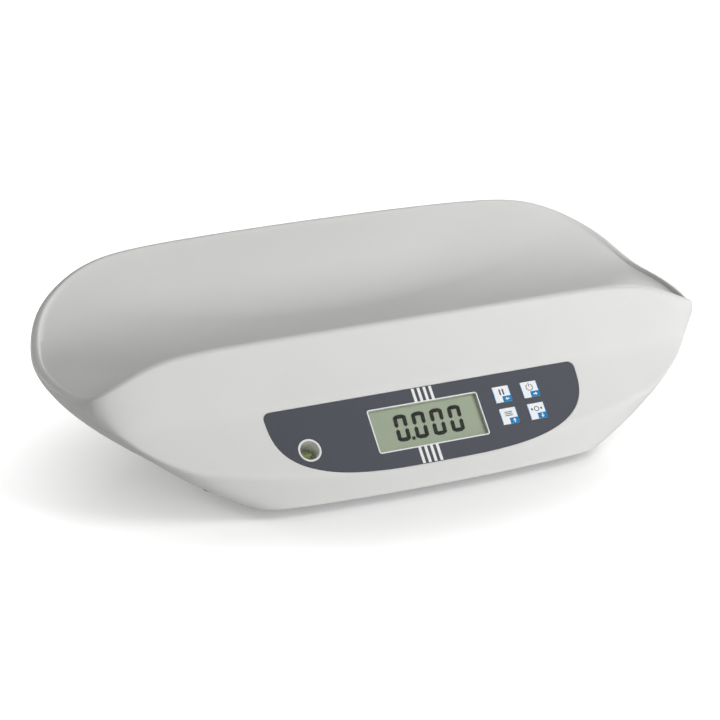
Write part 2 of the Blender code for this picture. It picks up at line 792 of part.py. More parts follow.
def make_shell():
    """The one-piece shell: outer wall, rim, tray and panel face, with its holes and bosses."""
    angle = column_angles()
    outer = outer_rings(angle)
    lip = outer[-1]
    rings = list(reversed(inner_rings(angle, lip))) + outer
    rings += tray_rings(lip)
    shell = skin("upper_shell", rings, "shell")
    combine(
        shell, prism("overlay_recess", overlay_outline(GAP), -RECESS_DEPTH, CUT_OVERRUN, None, PANEL)
    )
    through = WALL + CUT_OVERRUN
    window = (WINDOW_WIDTH / 2 + SIDE_GAP, WINDOW_HEIGHT / 2 + SIDE_GAP)
    combine(
        shell,
        box("window_hole", (-window[0], -window[1], -through), (*window, CUT_OVERRUN), None, PANEL),
    )
    half = (KEY_WIDTH / 2 + SIDE_GAP, KEY_HEIGHT / 2 + SIDE_GAP)
    for name, u, v in key_places():
        combine(
            shell,
            box(
                f"key_hole_{name}",
                (u - half[0], v - half[1], -through),
                (u + half[0], v + half[1], CUT_OVERRUN),
                None,
                PANEL,
            ),
        )
    level = along_panel(level_u(), LEVEL_V)
    combine(
        shell, cylinder("level_hole", LEVEL_RADIUS + SIDE_GAP, -through, CUT_OVERRUN, None, level)
    )
    for number, (u, v) in enumerate(board_screw_places(), 1):
        boss = cylinder(
            f"board_boss_{number}",
            BOARD_BOSS_RADIUS,
            BOARD_FRONT + GAP,
            -WALL / 2 - RECESS_DEPTH / 2,
            None,
            along_panel(u, v),
        )
        combine(shell, boss, "UNION")
        bore = cylinder(
            f"board_bore_{number}",
            BOARD_SCREW_SHANK + SCREW_CLEARANCE,
            BOARD_FRONT - CUT_OVERRUN,
            -WALL - GAP,
            None,
            along_panel(u, v),
        )
        combine(shell, bore)
    trim = under_tray(lip)
    for number, (x, y) in enumerate(support_screw_places(), 1):
        place = Matrix.Translation((x, y, 0))
        boss = cylinder(
            f"shell_boss_{number}", SHELL_BOSS_RADIUS, SUPPORT_HIGH + GAP, RIM_Z_FRONT, None, place
        )
        combine(boss, trim, "INTERSECT")
        combine(shell, boss, "UNION")
        bore = cylinder(
            f"shell_bore_{number}",
            SHELL_SCREW_SHANK + SCREW_CLEARANCE,
            SUPPORT_HIGH - CUT_OVERRUN,
            SUPPORT_LOW + SHELL_SCREW_LENGTH + CUT_OVERRUN,
            None,
            place,
        )
        combine(shell, bore)
    combine(shell, port_block("port_hole", PORT_WALL + SIDE_GAP, RIM_BACK))
    return rings, angle


def port_block(name, grow, back):
    """A block round the socket housing, from behind its face towards the back."""
    half_width = PORT_WIDTH / 2 + grow
    half_height = PORT_HEIGHT / 2 + grow
    return box(
        name,
        (-half_width, PORT_FACE_Y - PORT_WALL - SIDE_GAP, PORT_Z - half_height),
        (half_width, back, PORT_Z + half_height),
    )


def make_ports(angle):
    """The socket housing, trimmed flush with the back wall, and its two sockets."""
    trim = hull_solid("port_trim", angle)
    low = (-PORT_WIDTH / 2 - PORT_WALL, PORT_FACE_Y - PORT_WALL, PORT_Z - PORT_HEIGHT / 2 - PORT_WALL)
    high = (PORT_WIDTH / 2 + PORT_WALL, RIM_BACK, PORT_Z + PORT_HEIGHT / 2 + PORT_WALL)
    housing = box("port_housing", low, high, "shell")
    combine(housing, trim, "INTERSECT")
    hollow = box(
        "port_hollow",
        (-PORT_WIDTH / 2, PORT_FACE_Y, PORT_Z - PORT_HEIGHT / 2),
        (PORT_WIDTH / 2, RIM_BACK + CUT_OVERRUN, PORT_Z + PORT_HEIGHT / 2),
    )
    combine(housing, hollow)
    back = Matrix.Translation((0, PORT_FACE_Y, PORT_Z)) @ Matrix.Rotation(-math.pi / 2, 4, "X")
    dc_place = back @ Matrix.Translation((DC_U, 0, 0))
    hole = cylinder(
        "dc_hole", DC_RADIUS + GAP, -PORT_WALL - CUT_OVERRUN, CUT_OVERRUN, None, dc_place
    )
    combine(housing, hole)
    half = (DATA_WIDTH / 2, DATA_HEIGHT / 2)
    data_hole = box(
        "data_hole",
        (DATA_U - half[0] - GAP, -half[1] - GAP, -PORT_WALL - CUT_OVERRUN),
        (DATA_U + half[0] + GAP, half[1] + GAP, CUT_OVERRUN),
        None,
        back,
    )
    combine(housing, data_hole)
    dc = cylinder("dc_socket", DC_RADIUS, SOCKET_STAND_OUT - DC_LENGTH, SOCKET_STAND_OUT, "frame", dc_place)
    bore = cylinder(
        "dc_bore",
        DC_BORE_RADIUS,
        SOCKET_STAND_OUT - DC_BORE_DEPTH,
        SOCKET_STAND_OUT + CUT_OVERRUN,
        None,
        dc_place,
    )
    combine(dc, bore)
    data = box(
        "data_socket",
        (DATA_U - half[0], -half[1], SOCKET_STAND_OUT - DATA_LENGTH),
        (DATA_U + half[0], half[1], SOCKET_STAND_OUT),
        "steel",
        back,
    )
    mouth = box(
        "data_mouth",
        (DATA_U - half[0] + DATA_MOUTH_WALL, DATA_MOUTH_WALL - half[1], SOCKET_STAND_OUT - DATA_MOUTH_DEPTH),
        (DATA_U + half[0] - DATA_MOUTH_WALL, half[1] - DATA_MOUTH_WALL, SOCKET_STAND_OUT + CUT_OVERRUN),
        None,
        back,
    )
    combine(data, mouth)


def hull_solid(name, angle):
    """The hull's outer form as a plain closed body, to trim pieces flush with it."""
    rings = [hull(angle, share) for share in np.linspace(0, 1, CELL_ROWS * 3)]
    return skin(name, rings, None, CUTTERS)


def make_overlay():
    """The printed foil on the panel, with holes for the window, the keys and the level."""
    overlay = prism("panel_overlay", overlay_outline(), -OVERLAY_THICKNESS, 0.0, "overlay", PANEL)
    half = (WINDOW_WIDTH / 2, WINDOW_HEIGHT / 2)
    below = -OVERLAY_THICKNESS - CUT_OVERRUN
    combine(
        overlay,
        box("overlay_window", (-half[0], -half[1], below), (*half, CUT_OVERRUN), None, PANEL),
    )
    key = (KEY_WIDTH / 2 + SIDE_GAP, KEY_HEIGHT / 2 + SIDE_GAP)
    for name, u, v in key_places():
        combine(
            overlay,
            box(
                f"overlay_key_{name}",
                (u - key[0], v - key[1], below),
                (u + key[0], v + key[1], CUT_OVERRUN),
                None,
                PANEL,
            ),
        )
    level = along_panel(level_u(), LEVEL_V)
    combine(
        overlay,
        cylinder("overlay_level", LEVEL_RADIUS + SIDE_GAP, below, CUT_OVERRUN, None, level),
    )


def make_display():
    """The clear window, the display glass behind it, and the frame that holds the glass."""
    half = (WINDOW_WIDTH / 2 - SIDE_GAP / 2, WINDOW_HEIGHT / 2 - SIDE_GAP / 2)
    box(
        "display_window", (-half[0], -half[1], -WINDOW_THICKNESS), (*half, 0.0), "window", PANEL
    )
    glass_front = -WINDOW_THICKNESS - GAP
    glass_back = glass_front - LCD_THICKNESS
    glass = (WINDOW_WIDTH / 2 + LCD_MARGIN, WINDOW_HEIGHT / 2 + LCD_MARGIN)
    box("lcd_glass", (-glass[0], -glass[1], glass_back), (*glass, glass_front), "lcd", PANEL)
    outside = [side + GAP + LCD_FRAME_WALL for side in glass]
    frame = box(
        "lcd_frame",
        (-outside[0], -outside[1], BOARD_FRONT + GAP),
        (*outside, glass_front),
        "frame",
        PANEL,
    )
    seat = [side + GAP for side in glass]
    combine(
        frame,
        box("lcd_seat", (-seat[0], -seat[1], glass_back - GAP), (*seat, CUT_OVERRUN), None, PANEL),
    )
    inside = [side - LCD_FRAME_LIP for side in glass]
    below = BOARD_FRONT - CUT_OVERRUN
    combine(
        frame,
        box("lcd_light_hole", (-inside[0], -inside[1], below), (*inside, CUT_OVERRUN), None, PANEL),
    )


def make_keys():
    """Four keys, each a cap with a flange behind the wall and a stem into its switch."""
    flange_back = KEY_BACK - KEY_FLANGE_THICKNESS
    switch_front = flange_back - KEY_TRAVEL - GAP
    for name, u, v in key_places():
        frame = along_panel(u, v)
        cap = prism(
            f"key_{name}",
            rounded_rectangle(KEY_WIDTH, KEY_HEIGHT, KEY_CORNER_RADIUS),
            flange_back,
            KEY_STAND_OUT,
            "key",
            frame,
        )
        half = (KEY_WIDTH / 2 + KEY_FLANGE_WIDTH, KEY_HEIGHT / 2 + KEY_FLANGE_WIDTH)
        flange = box(
            f"key_flange_{name}", (-half[0], -half[1], flange_back), (*half, KEY_BACK), None, frame
        )
        combine(cap, flange, "UNION")
        stem = cylinder(
            f"key_stem_{name}",
            KEY_STEM_RADIUS,
            flange_back - KEY_STEM_LENGTH,
            flange_back + KEY_FLANGE_THICKNESS / 2,
            None,
            frame,
            sides=12,
        )
        combine(cap, stem, "UNION")
        side = SWITCH_SIDE / 2
        switch = box(
            f"switch_{name}", (-side, -side, BOARD_FRONT + GAP), (side, side, switch_front), "frame", frame
        )
        well = cylinder(
            f"switch_well_{name}",
            KEY_STEM_RADIUS + SIDE_GAP,
            flange_back - KEY_STEM_LENGTH - SWITCH_WELL_EXTRA - GAP,
            switch_front + CUT_OVERRUN,
            None,
            frame,
            sides=12,
        )
        combine(switch, well)


def make_board():
    """The main board with its controller and lead connector, and its four screws."""
    back = BOARD_FRONT - BOARD_THICKNESS
    board = box(
        "main_board", (BOARD_LEFT, BOARD_BOTTOM, back), (board_right(), BOARD_TOP, BOARD_FRONT), "board", PANEL
    )
    for number, (u, v) in enumerate(board_screw_places(), 1):
        place = along_panel(u, v)
        hole = cylinder(
            f"board_hole_{number}",
            BOARD_SCREW_SHANK + SCREW_CLEARANCE,
            back - CUT_OVERRUN,
            BOARD_FRONT + CUT_OVERRUN,
            None,
            place,
            sides=12,
        )
        combine(board, hole)
        screw(
            f"board_screw_{number}",
            (BOARD_SCREW_SHANK, BOARD_SCREW_LENGTH, BOARD_SCREW_HEAD, BOARD_SCREW_HEAD_HEIGHT),
            place @ Matrix.Translation((0, 0, back - GAP)),
        )
    chip_back = back - GAP - CHIP_THICKNESS
    half = CHIP_SIDE / 2
    box(
        "controller_chip",
        (CHIP_U - half, -half, chip_back),
        (CHIP_U + half, half, back - GAP),
        "chip",
        PANEL,
    )
    half_width = CONNECTOR_WIDTH / 2
    box(
        "lead_connector",
        (CONNECTOR_U - half_width, -CONNECTOR_DEPTH / 2, back - GAP - CONNECTOR_HEIGHT),
        (CONNECTOR_U + half_width, CONNECTOR_DEPTH / 2, back - GAP),
        "well",
        PANEL,
    )


def screw(name, sizes, place):
    """A pan-head screw whose head bears at its frame's origin, with its shank along the third axis."""
    shank, length, head, head_height = sizes
    profile = ((0.0, length), (shank, length), (shank, 0.0), (head, 0.0), (head, -head_height), (0.0, -head_height))
    item = turned(name, profile, "steel", (0, 0, 0), sides=12)
    item.matrix_world = place
    return item


def make_level():
    """The level's well, with its flat floor, and the vial that lies level on it."""
    place = along_panel(level_u(), LEVEL_V)
    radius = LEVEL_RADIUS
    seat = place @ Vector((0, 0, -LEVEL_SEAT_DEPTH))
    well = cylinder("level_well", radius, -LEVEL_WELL_LENGTH, 0.0, "well", place)
    flange = cylinder(
        "level_flange",
        radius + LEVEL_FLANGE_WIDTH,
        -WALL - GAP - LEVEL_FLANGE_THICKNESS,
        -WALL - GAP,
        None,
        place,
    )
    combine(well, flange, "UNION")
    bore = cylinder(
        "level_bore", radius - LEVEL_WALL, -LEVEL_WELL_LENGTH * 2, CUT_OVERRUN, None, place
    )
    floor = box(
        "level_floor",
        (seat.x - 2 * radius, seat.y - LEVEL_WELL_LENGTH, seat.z),
        (seat.x + 2 * radius, seat.y + LEVEL_WELL_LENGTH, seat.z + 2 * LEVEL_WELL_LENGTH),
    )
    combine(bore, floor, "INTERSECT")
    combine(well, bore)
    lean = Vector((0, -math.sin(PANEL_TILT), 0)) * (VIAL_HEIGHT / 2)
    spot = seat + lean + Vector((0, 0, GAP))
    profile = (
        (0.0, VIAL_HEIGHT),
        (VIAL_RADIUS * VIAL_CROWN_SHARE, VIAL_HEIGHT * VIAL_SHOULDER_SHARE),
        (VIAL_RADIUS, VIAL_HEIGHT * VIAL_RIM_SHARE),
        (VIAL_RADIUS, 0.0),
        (0.0, 0.0),
    )
    smooth(turned("level_vial", profile, "vial", spot))


VIAL_CROWN_SHARE = 0.8
VIAL_SHOULDER_SHARE = 0.97
VIAL_RIM_SHARE = 0.85


def cell_screw_places(side):
    """Two screws in line, at one end of the load cell."""
    return [
        (side * SPACER_X + step * CELL_SCREW_SPACING / 2, CELL_Y) for step in (-1, 1)
    ]


def make_load_cell():
    """The load cell with its thinned waist, its two spacers, screws and stop."""
    half_width = CELL_WIDTH / 2
    cell = box(
        "load_cell",
        (-CELL_LENGTH / 2, CELL_Y - half_width, CELL_LOW),
        (CELL_LENGTH / 2, CELL_Y + half_width, CELL_HIGH),
        "aluminium",
    )
    middle = (CELL_LOW + CELL_HIGH) / 2
    across = Matrix.Translation((0, CELL_Y, middle)) @ Matrix.Rotation(math.pi / 2, 4, "X")
    reach = half_width + CUT_OVERRUN
    for side in (-1, 1):
        eye = cylinder(
            f"cell_eye_{side + 2}",
            CELL_HOLE_RADIUS,
            -reach,
            reach,
            None,
            Matrix.Translation((side * CELL_HOLE_SPACING / 2, 0, 0)) @ across,
        )
        combine(cell, eye)
    slot = box(
        "cell_slot",
        (-CELL_HOLE_SPACING / 2, CELL_Y - reach, middle - CELL_SLOT_HEIGHT / 2),
        (CELL_HOLE_SPACING / 2, CELL_Y + reach, middle + CELL_SLOT_HEIGHT / 2),
    )
    combine(cell, slot)
    half_spacer = SPACER_LENGTH / 2
    spacers = {}
    for name, side, low in (("base_spacer", -1, CELL_LOW - GAP - SPACER_HEIGHT), ("tray_spacer", 1, CELL_HIGH + GAP)):
        centre = side * SPACER_X
        spacers[name] = box(
            name,
            (centre - half_spacer, CELL_Y - half_width, low),
            (centre + half_spacer, CELL_Y + half_width, low + SPACER_HEIGHT),
            "aluminium",
        )
    sizes = (
        CELL_SCREW_RADIUS,
        BASE_FLOOR + SPACER_HEIGHT + CELL_SCREW_DEPTH,
        CELL_SCREW_HEAD_RADIUS,
        CELL_SCREW_HEAD_HEIGHT,
    )
    for number, (x, y) in enumerate(cell_screw_places(-1), 1):
        place = Matrix.Translation((x, y, BASE_Z - GAP))
        screw(f"base_cell_screw_{number}", sizes, place)
        drill((cell, spacers["base_spacer"]), f"base_cell_hole_{number}", place, sizes)
    for number, (x, y) in enumerate(cell_screw_places(1), 1):
        place = Matrix.Translation((x, y, SUPPORT_HIGH + GAP)) @ Matrix.Rotation(math.pi, 4, "X")
        screw(f"tray_cell_screw_{number}", sizes, place)
        drill((cell, spacers["tray_spacer"]), f"tray_cell_hole_{number}", place, sizes)
    cylinder(
        "overload_stop",
        STOP_RADIUS,
        BASE_Z + BASE_FLOOR + GAP,
        CELL_LOW - STOP_GAP,
        "steel",
        Matrix.Translation((SPACER_X, CELL_Y, 0)),
    )


def drill(items, name, place, sizes):
    """A clearance hole along a screw's shank, through each of the pieces."""
    hole = cylinder(
        name,
        sizes[0] + SCREW_CLEARANCE,
        -CUT_OVERRUN,
        sizes[1] + CUT_OVERRUN,
        None,
        place,
    )
    for item in items:
        combine(item, hole)
    return hole


def make_support():
    """The steel plate that carries the shell, and its four screws."""
    outline = support_outline()
    plate = prism(
        "tray_support", outline, SUPPORT_LOW, SUPPORT_HIGH, "steel", Matrix.Translation((0, CELL_Y, 0))
    )
    sizes = (
        CELL_SCREW_RADIUS,
        BASE_FLOOR + SPACER_HEIGHT + CELL_SCREW_DEPTH,
        CELL_SCREW_HEAD_RADIUS,
        CELL_SCREW_HEAD_HEIGHT,
    )
    for number, (x, y) in enumerate(cell_screw_places(1), 1):
        place = Matrix.Translation((x, y, SUPPORT_HIGH)) @ Matrix.Rotation(math.pi, 4, "X")
        drill((plate,), f"support_cell_hole_{number}", place, sizes)
    sizes = (SHELL_SCREW_SHANK, SHELL_SCREW_LENGTH, SHELL_SCREW_HEAD, SHELL_SCREW_HEAD_HEIGHT)
    for number, (x, y) in enumerate(support_screw_places(), 1):
        place = Matrix.Translation((x, y, SUPPORT_LOW - GAP))
        screw(f"shell_screw_{number}", sizes, place)
        drill((plate,), f"support_hole_{number}", place, sizes)


def support_outline():
    """A plate with four arms: a rounded rectangle drawn in at the middle of each long side."""
    half_length = SUPPORT_LENGTH / 2
    half_width = SUPPORT_WIDTH / 2
    half_waist = SUPPORT_WAIST_LENGTH / 2
    neck = half_width - SUPPORT_WAIST_DEPTH
    outline = []
    corners = rounded_rectangle(SUPPORT_LENGTH, SUPPORT_WIDTH, SUPPORT_CORNER_RADIUS)
    count = len(corners) // 4
    waist_top = [(half_waist, half_width), (half_waist - SUPPORT_WAIST_DEPTH, neck)]
    waist_top += [(-x, y) for x, y in reversed(waist_top)]
    waist_bottom = [(-x, -y) for x, y in waist_top]
    outline += corners[:count]
    outline += waist_top
    outline += corners[count : 3 * count]
    outline += waist_bottom
    outline += corners[3 * count :]
    return [point for point in outline if abs(point[0]) <= half_length]


def base_plate_outline(angle, inset):
    x, y = base_outline(angle)
    ring = cut_front(np.stack([x, y, np.full_like(x, BASE_Z)], axis=1))
    return plan_inset(ring, inset)


def make_base(angle):
    """The base: a shallow pan with foot bosses, the bay's opening and the door's rails."""
    inset = EDGE_WALL + BASE_CLEARANCE
    top = BASE_Z + BASE_WALL_HEIGHT
    outside = base_plate_outline(angle, inset)
    inside = base_plate_outline(angle, inset + BASE_WALL)
    floor = BASE_Z + BASE_FLOOR
    rings = [outside, raised(outside, top), raised(inside, top), raised(inside, floor)]
    plate = skin("base_plate", rings, "base")
    for number, (x, y) in enumerate(foot_places(), 1):
        place = Matrix.Translation((x, y, 0))
        boss = cylinder(
            f"foot_boss_{number}",
            FOOT_BOSS_RADIUS,
            BASE_Z + BASE_FLOOR / 2,
            floor + FOOT_BOSS_HEIGHT,
            None,
            place,
        )
        combine(plate, boss, "UNION")
        hole = cylinder(
            f"foot_hole_{number}",
            STUD_RADIUS + STUD_CLEARANCE,
            BASE_Z - CUT_OVERRUN,
            floor + FOOT_BOSS_HEIGHT + CUT_OVERRUN,
            None,
            place,
        )
        combine(plate, hole)
    sizes = (CELL_SCREW_RADIUS, BASE_FLOOR)
    for number, (x, y) in enumerate(cell_screw_places(-1), 1):
        drill((plate,), f"base_hole_{number}", Matrix.Translation((x, y, BASE_Z)), sizes)
    half_length, half_depth = bay_inside()
    opening = box(
        "bay_opening",
        (-half_length - BAY_WALL - SIDE_GAP, BAY_CENTRE_Y - half_depth - BAY_WALL - SIDE_GAP, BASE_Z - CUT_OVERRUN),
        (half_length + BAY_WALL + SIDE_GAP, BAY_CENTRE_Y + half_depth + BAY_WALL + SIDE_GAP, floor + CUT_OVERRUN),
    )
    combine(plate, opening)
    make_rails(plate, half_length, half_depth)


def raised(ring, height):
    moved = ring.copy()
    moved[:, 2] = height
    return moved


def bay_inside():
    """Half the bay's inner length and depth, round its cells."""
    length = CELL_COUNT_ALONG * (BATTERY_LENGTH + BATTERY_NUB_LENGTH + BATTERY_SPACE)
    length += 2 * BATTERY_SPRING_ROOM
    depth = CELL_ROWS * 2 * BATTERY_RADIUS + (CELL_ROWS + 1) * BATTERY_SPACE
    return length / 2, depth / 2


def door_size():
    half_length, half_depth = bay_inside()
    return half_length + BAY_WALL + DOOR_OVERLAP, half_depth + BAY_WALL + DOOR_OVERLAP


DOOR_TOP = BASE_Z - DOOR_CLEARANCE
DOOR_LOW = DOOR_TOP - DOOR_THICKNESS


def make_rails(plate, half_length, half_depth):
    """Two rails under the base, which hook under the door's ends."""
    door_x, door_y = door_size()
    lip_top = DOOR_LOW - GAP
    for side, name in ((-1, "left"), (1, "right")):
        inner = door_x + SIDE_GAP
        ends = sorted((side * inner, side * (inner + RAIL_WALL)))
        leg = box(
            f"rail_leg_{name}",
            (ends[0], BAY_CENTRE_Y - door_y, lip_top - RAIL_LIP_THICKNESS),
            (ends[1], BAY_CENTRE_Y + door_y, BASE_Z + BASE_FLOOR / 2),
        )
        combine(plate, leg, "UNION")
        ends = sorted((side * (door_x - RAIL_LIP), side * (inner + RAIL_WALL / 2)))
        lip = box(
            f"rail_lip_{name}",
            (ends[0], BAY_CENTRE_Y - door_y, lip_top - RAIL_LIP_THICKNESS),
            (ends[1], BAY_CENTRE_Y + door_y, lip_top),
        )
        combine(plate, lip, "UNION")


def make_battery_bay():
    """The tub over the cells, its two contact plates, the cells and the sliding door."""
    half_length, half_depth = bay_inside()
    height = 2 * BATTERY_RADIUS + 2 * BATTERY_SPACE
    ceiling = BASE_Z + height
    outer = (half_length + BAY_WALL, half_depth + BAY_WALL)
    tub = box(
        "battery_bay",
        (-outer[0], BAY_CENTRE_Y - outer[1], BASE_Z),
        (outer[0], BAY_CENTRE_Y + outer[1], ceiling + BAY_WALL),
        "base",
    )
    flange = box(
        "bay_flange",
        (-outer[0] - BAY_FLANGE, BAY_CENTRE_Y - outer[1] - BAY_FLANGE, BASE_Z + BASE_FLOOR + GAP),
        (outer[0] + BAY_FLANGE, BAY_CENTRE_Y + outer[1] + BAY_FLANGE, BASE_Z + BASE_FLOOR + GAP + BAY_WALL),
    )
    combine(tub, flange, "UNION")
    hollow = box(
        "bay_hollow",
        (-half_length, BAY_CENTRE_Y - half_depth, BASE_Z - CUT_OVERRUN),
        (half_length, BAY_CENTRE_Y + half_depth, ceiling),
    )
    combine(tub, hollow)
    axis_z = BASE_Z + BATTERY_SPACE + BATTERY_RADIUS
    for side, name in ((-1, "left"), (1, "right")):
        ends = sorted((side * (half_length - GAP), side * (half_length - GAP - CONTACT_THICKNESS)))
        box(
            f"contact_plate_{name}",
            (ends[0], BAY_CENTRE_Y - half_depth + BATTERY_SPACE, axis_z - CONTACT_HEIGHT / 2),
            (ends[1], BAY_CENTRE_Y + half_depth - BATTERY_SPACE, axis_z + CONTACT_HEIGHT / 2),
            "contact",
        )
    pitch_x = BATTERY_LENGTH + BATTERY_NUB_LENGTH + BATTERY_SPACE
    pitch_y = 2 * BATTERY_RADIUS + BATTERY_SPACE
    number = 0
    for row in range(CELL_ROWS):
        for column in range(CELL_COUNT_ALONG):
            number += 1
            facing = 1 if row % 2 else -1
            x = (column - (CELL_COUNT_ALONG - 1) / 2) * pitch_x
            y = BAY_CENTRE_Y + (row - (CELL_ROWS - 1) / 2) * pitch_y
            make_battery(number, x, y, axis_z, facing)
    make_door()


def make_battery(number, x, y, z, facing):
    """A cell lying along X, with its nub facing one way."""
    body = BATTERY_LENGTH / 2
    nub = BATTERY_NUB_LENGTH
    profile = (
        (0.0, body + nub / 2),
        (BATTERY_NUB_RADIUS, body + nub / 2),
        (BATTERY_NUB_RADIUS, body - nub / 2),
        (BATTERY_RADIUS, body - nub / 2),
        (BATTERY_RADIUS, -body - nub / 2),
        (0.0, -body - nub / 2),
    )
    item = turned(f"battery_{number}", profile, "battery", (x, y, z), sides=16)
    item.rotation_euler = (0, facing * math.pi / 2, 0)


def make_door():
    """The battery door: a plate with grip ribs, which slides out to the back."""
    door_x, door_y = door_size()
    door = box(
        "battery_door",
        (-door_x, BAY_CENTRE_Y - door_y, DOOR_LOW),
        (door_x, BAY_CENTRE_Y + door_y, DOOR_TOP),
        "base",
    )
    for step in range(DOOR_GRIP_COUNT):
        y = BAY_CENTRE_Y + door_y - DOOR_GRIP_PITCH * (step + 1)
        rib = box(
            f"door_rib_{step + 1}",
            (-DOOR_GRIP_WIDTH / 2, y - DOOR_GRIP_DEPTH / 2, DOOR_LOW - DOOR_GRIP_HEIGHT),
            (DOOR_GRIP_WIDTH / 2, y + DOOR_GRIP_DEPTH / 2, DOOR_LOW + DOOR_THICKNESS / 2),
        )
        combine(door, rib, "UNION")


def foot_places():
    """Front left, front right, back left and back right."""
    front = BASE_HALF_LENGTH - FOOT_FRONT_INSET
    back = BASE_HALF_LENGTH - FOOT_BACK_INSET
    return (
        (-front, FOOT_FRONT_Y),
        (front, FOOT_FRONT_Y),
        (-back, FOOT_BACK_Y),
        (back, FOOT_BACK_Y),
    )


def make_feet():
    """Four levelling feet: a rubber pad that turns with its threaded stud."""
    socket_floor = FOOT_HEIGHT - STUD_SOCKET_DEPTH
    collar_low = FOOT_HEIGHT + GAP
    for number, (x, y) in enumerate(foot_places(), 1):
        pad_profile = (
            (0.0, socket_floor),
            (STUD_RADIUS + STUD_CLEARANCE, socket_floor),
            (STUD_RADIUS + STUD_CLEARANCE, FOOT_HEIGHT),
            (FOOT_RADIUS * FOOT_WAIST_SHARE, FOOT_HEIGHT),
            (FOOT_RADIUS, FOOT_HEIGHT / 2),
            (FOOT_RADIUS, 0.0),
            (0.0, 0.0),
        )
        smooth(turned(f"foot_pad_{number}", pad_profile, "rubber", (x, y, 0)))
        stud_low = socket_floor + GAP
        stud_profile = (
            (0.0, stud_low + STUD_LENGTH),
            (STUD_RADIUS, stud_low + STUD_LENGTH),
            (STUD_RADIUS, collar_low + STUD_COLLAR_HEIGHT),
            (STUD_COLLAR_RADIUS, collar_low + STUD_COLLAR_HEIGHT),
            (STUD_COLLAR_RADIUS, collar_low),
            (STUD_RADIUS, collar_low),
            (STUD_RADIUS, stud_low),
            (0.0, stud_low),
        )
        turned(f"foot_stud_{number}", stud_profile, "steel", (x, y, 0))


def curve_through(points, count):
    """Evenly stepped points on a smooth curve through a few."""
    points = np.array(points)
    steps = np.linalg.norm(np.diff(points, axis=0), axis=1)
    run = np.concatenate([[0.0], np.cumsum(steps)])
    where = np.linspace(0, run[-1], count)
    return np.stack([ease_through(run, points[:, axis], where) for axis in range(3)], axis=1)


def make_lead():
    """The load cell's lead, from the bar's side to the board's connector."""
    connector = PANEL @ Vector((CONNECTOR_U, 0, BOARD_FRONT - BOARD_THICKNESS - GAP - CONNECTOR_HEIGHT))
    into = (PANEL.to_3x3() @ Vector((0, 0, -1))).normalized()
    end = connector + into * (GAP + LEAD_END_ROOM)
    start = Vector((CONNECTOR_U, CELL_Y - CELL_WIDTH / 2 - GAP, (CELL_LOW + CELL_HIGH) / 2))
    out = start + Vector((0, -LEAD_STRAIGHT, 0))
    before = end + into * LEAD_STRAIGHT
    points = curve_through([start, out, before, end], LEAD_POINTS)
    curve = bpy.data.curves.new("load_cell_lead", "CURVE")
    curve.dimensions = "3D"
    curve.bevel_depth = LEAD_RADIUS
    curve.bevel_resolution = 2
    curve.use_fill_caps = True
    spline = curve.splines.new("POLY")
    spline.points.add(len(points) - 1)
    for knot, point in zip(spline.points, points):
        knot.co = (*point, 1.0)
    finish_object(bpy.data.objects.new("load_cell_lead", curve), "cable")


LEAD_STRAIGHT = 0.010
LEAD_END_ROOM = 0.0006


def main():
    rings, angle = make_shell()
    make_overlay()
    make_display()
    make_keys()
    make_board()
    make_level()
    make_load_cell()
    make_support()
    make_base(angle)
    make_battery_bay()
    make_feet()
    make_ports(angle)
    make_lead()


main()
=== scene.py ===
"""Looks for the digital baby weighing scale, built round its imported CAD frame.

The moulded shell is made again with rounded creases and a rolled rim, and the panel gets its print, digits
and key signs. Every other piece keeps its CAD shape and gets its own finish. Metres, +Z up.
"""

import logging
import math
from dataclasses import dataclass, field
from enum import Enum
from functools import cached_property
from typing import Iterable, Optional, Sequence

import bmesh
import bpy
import numpy as np
from mathutils import Matrix, Vector


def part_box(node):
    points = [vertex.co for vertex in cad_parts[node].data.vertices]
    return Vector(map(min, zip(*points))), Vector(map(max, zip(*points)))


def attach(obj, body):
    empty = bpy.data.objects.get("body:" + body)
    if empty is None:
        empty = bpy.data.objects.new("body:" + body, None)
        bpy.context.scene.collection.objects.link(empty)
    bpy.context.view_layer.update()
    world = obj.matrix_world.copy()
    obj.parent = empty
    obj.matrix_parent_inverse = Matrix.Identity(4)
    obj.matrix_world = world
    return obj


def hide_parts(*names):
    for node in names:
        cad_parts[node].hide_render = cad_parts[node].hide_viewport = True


LOG = logging.getLogger("baby_scale")
MM = 0.001
# Edges that turn by more degrees than this stay sharp: on most pieces, and on the moulded shell.
SHARP_EDGE = 32.0
SHELL_EDGE = 50.0
Outline = list[tuple[float, float]]

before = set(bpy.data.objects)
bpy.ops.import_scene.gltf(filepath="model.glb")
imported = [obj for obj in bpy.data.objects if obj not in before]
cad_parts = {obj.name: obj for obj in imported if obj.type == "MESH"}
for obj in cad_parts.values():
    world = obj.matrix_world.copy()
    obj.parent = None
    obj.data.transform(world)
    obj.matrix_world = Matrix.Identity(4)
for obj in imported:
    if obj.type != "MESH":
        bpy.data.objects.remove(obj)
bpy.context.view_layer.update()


def linear(hex_colour: str) -> tuple[float, float, float, float]:
    """Turns an sRGB colour into Blender's linear one.

    Args:
        hex_colour: Six hex digits, such as "E8E8E4".

    Returns:
        Red, green, blue and an alpha of 1.
    """
    channels = [int(hex_colour[i : i + 2], 16) / 255 for i in (0, 2, 4)]
    red, green, blue = (c / 12.92 if c <= 0.04045 else ((c + 0.055) / 1.055) ** 2.4 for c in channels)
    return red, green, blue, 1.0


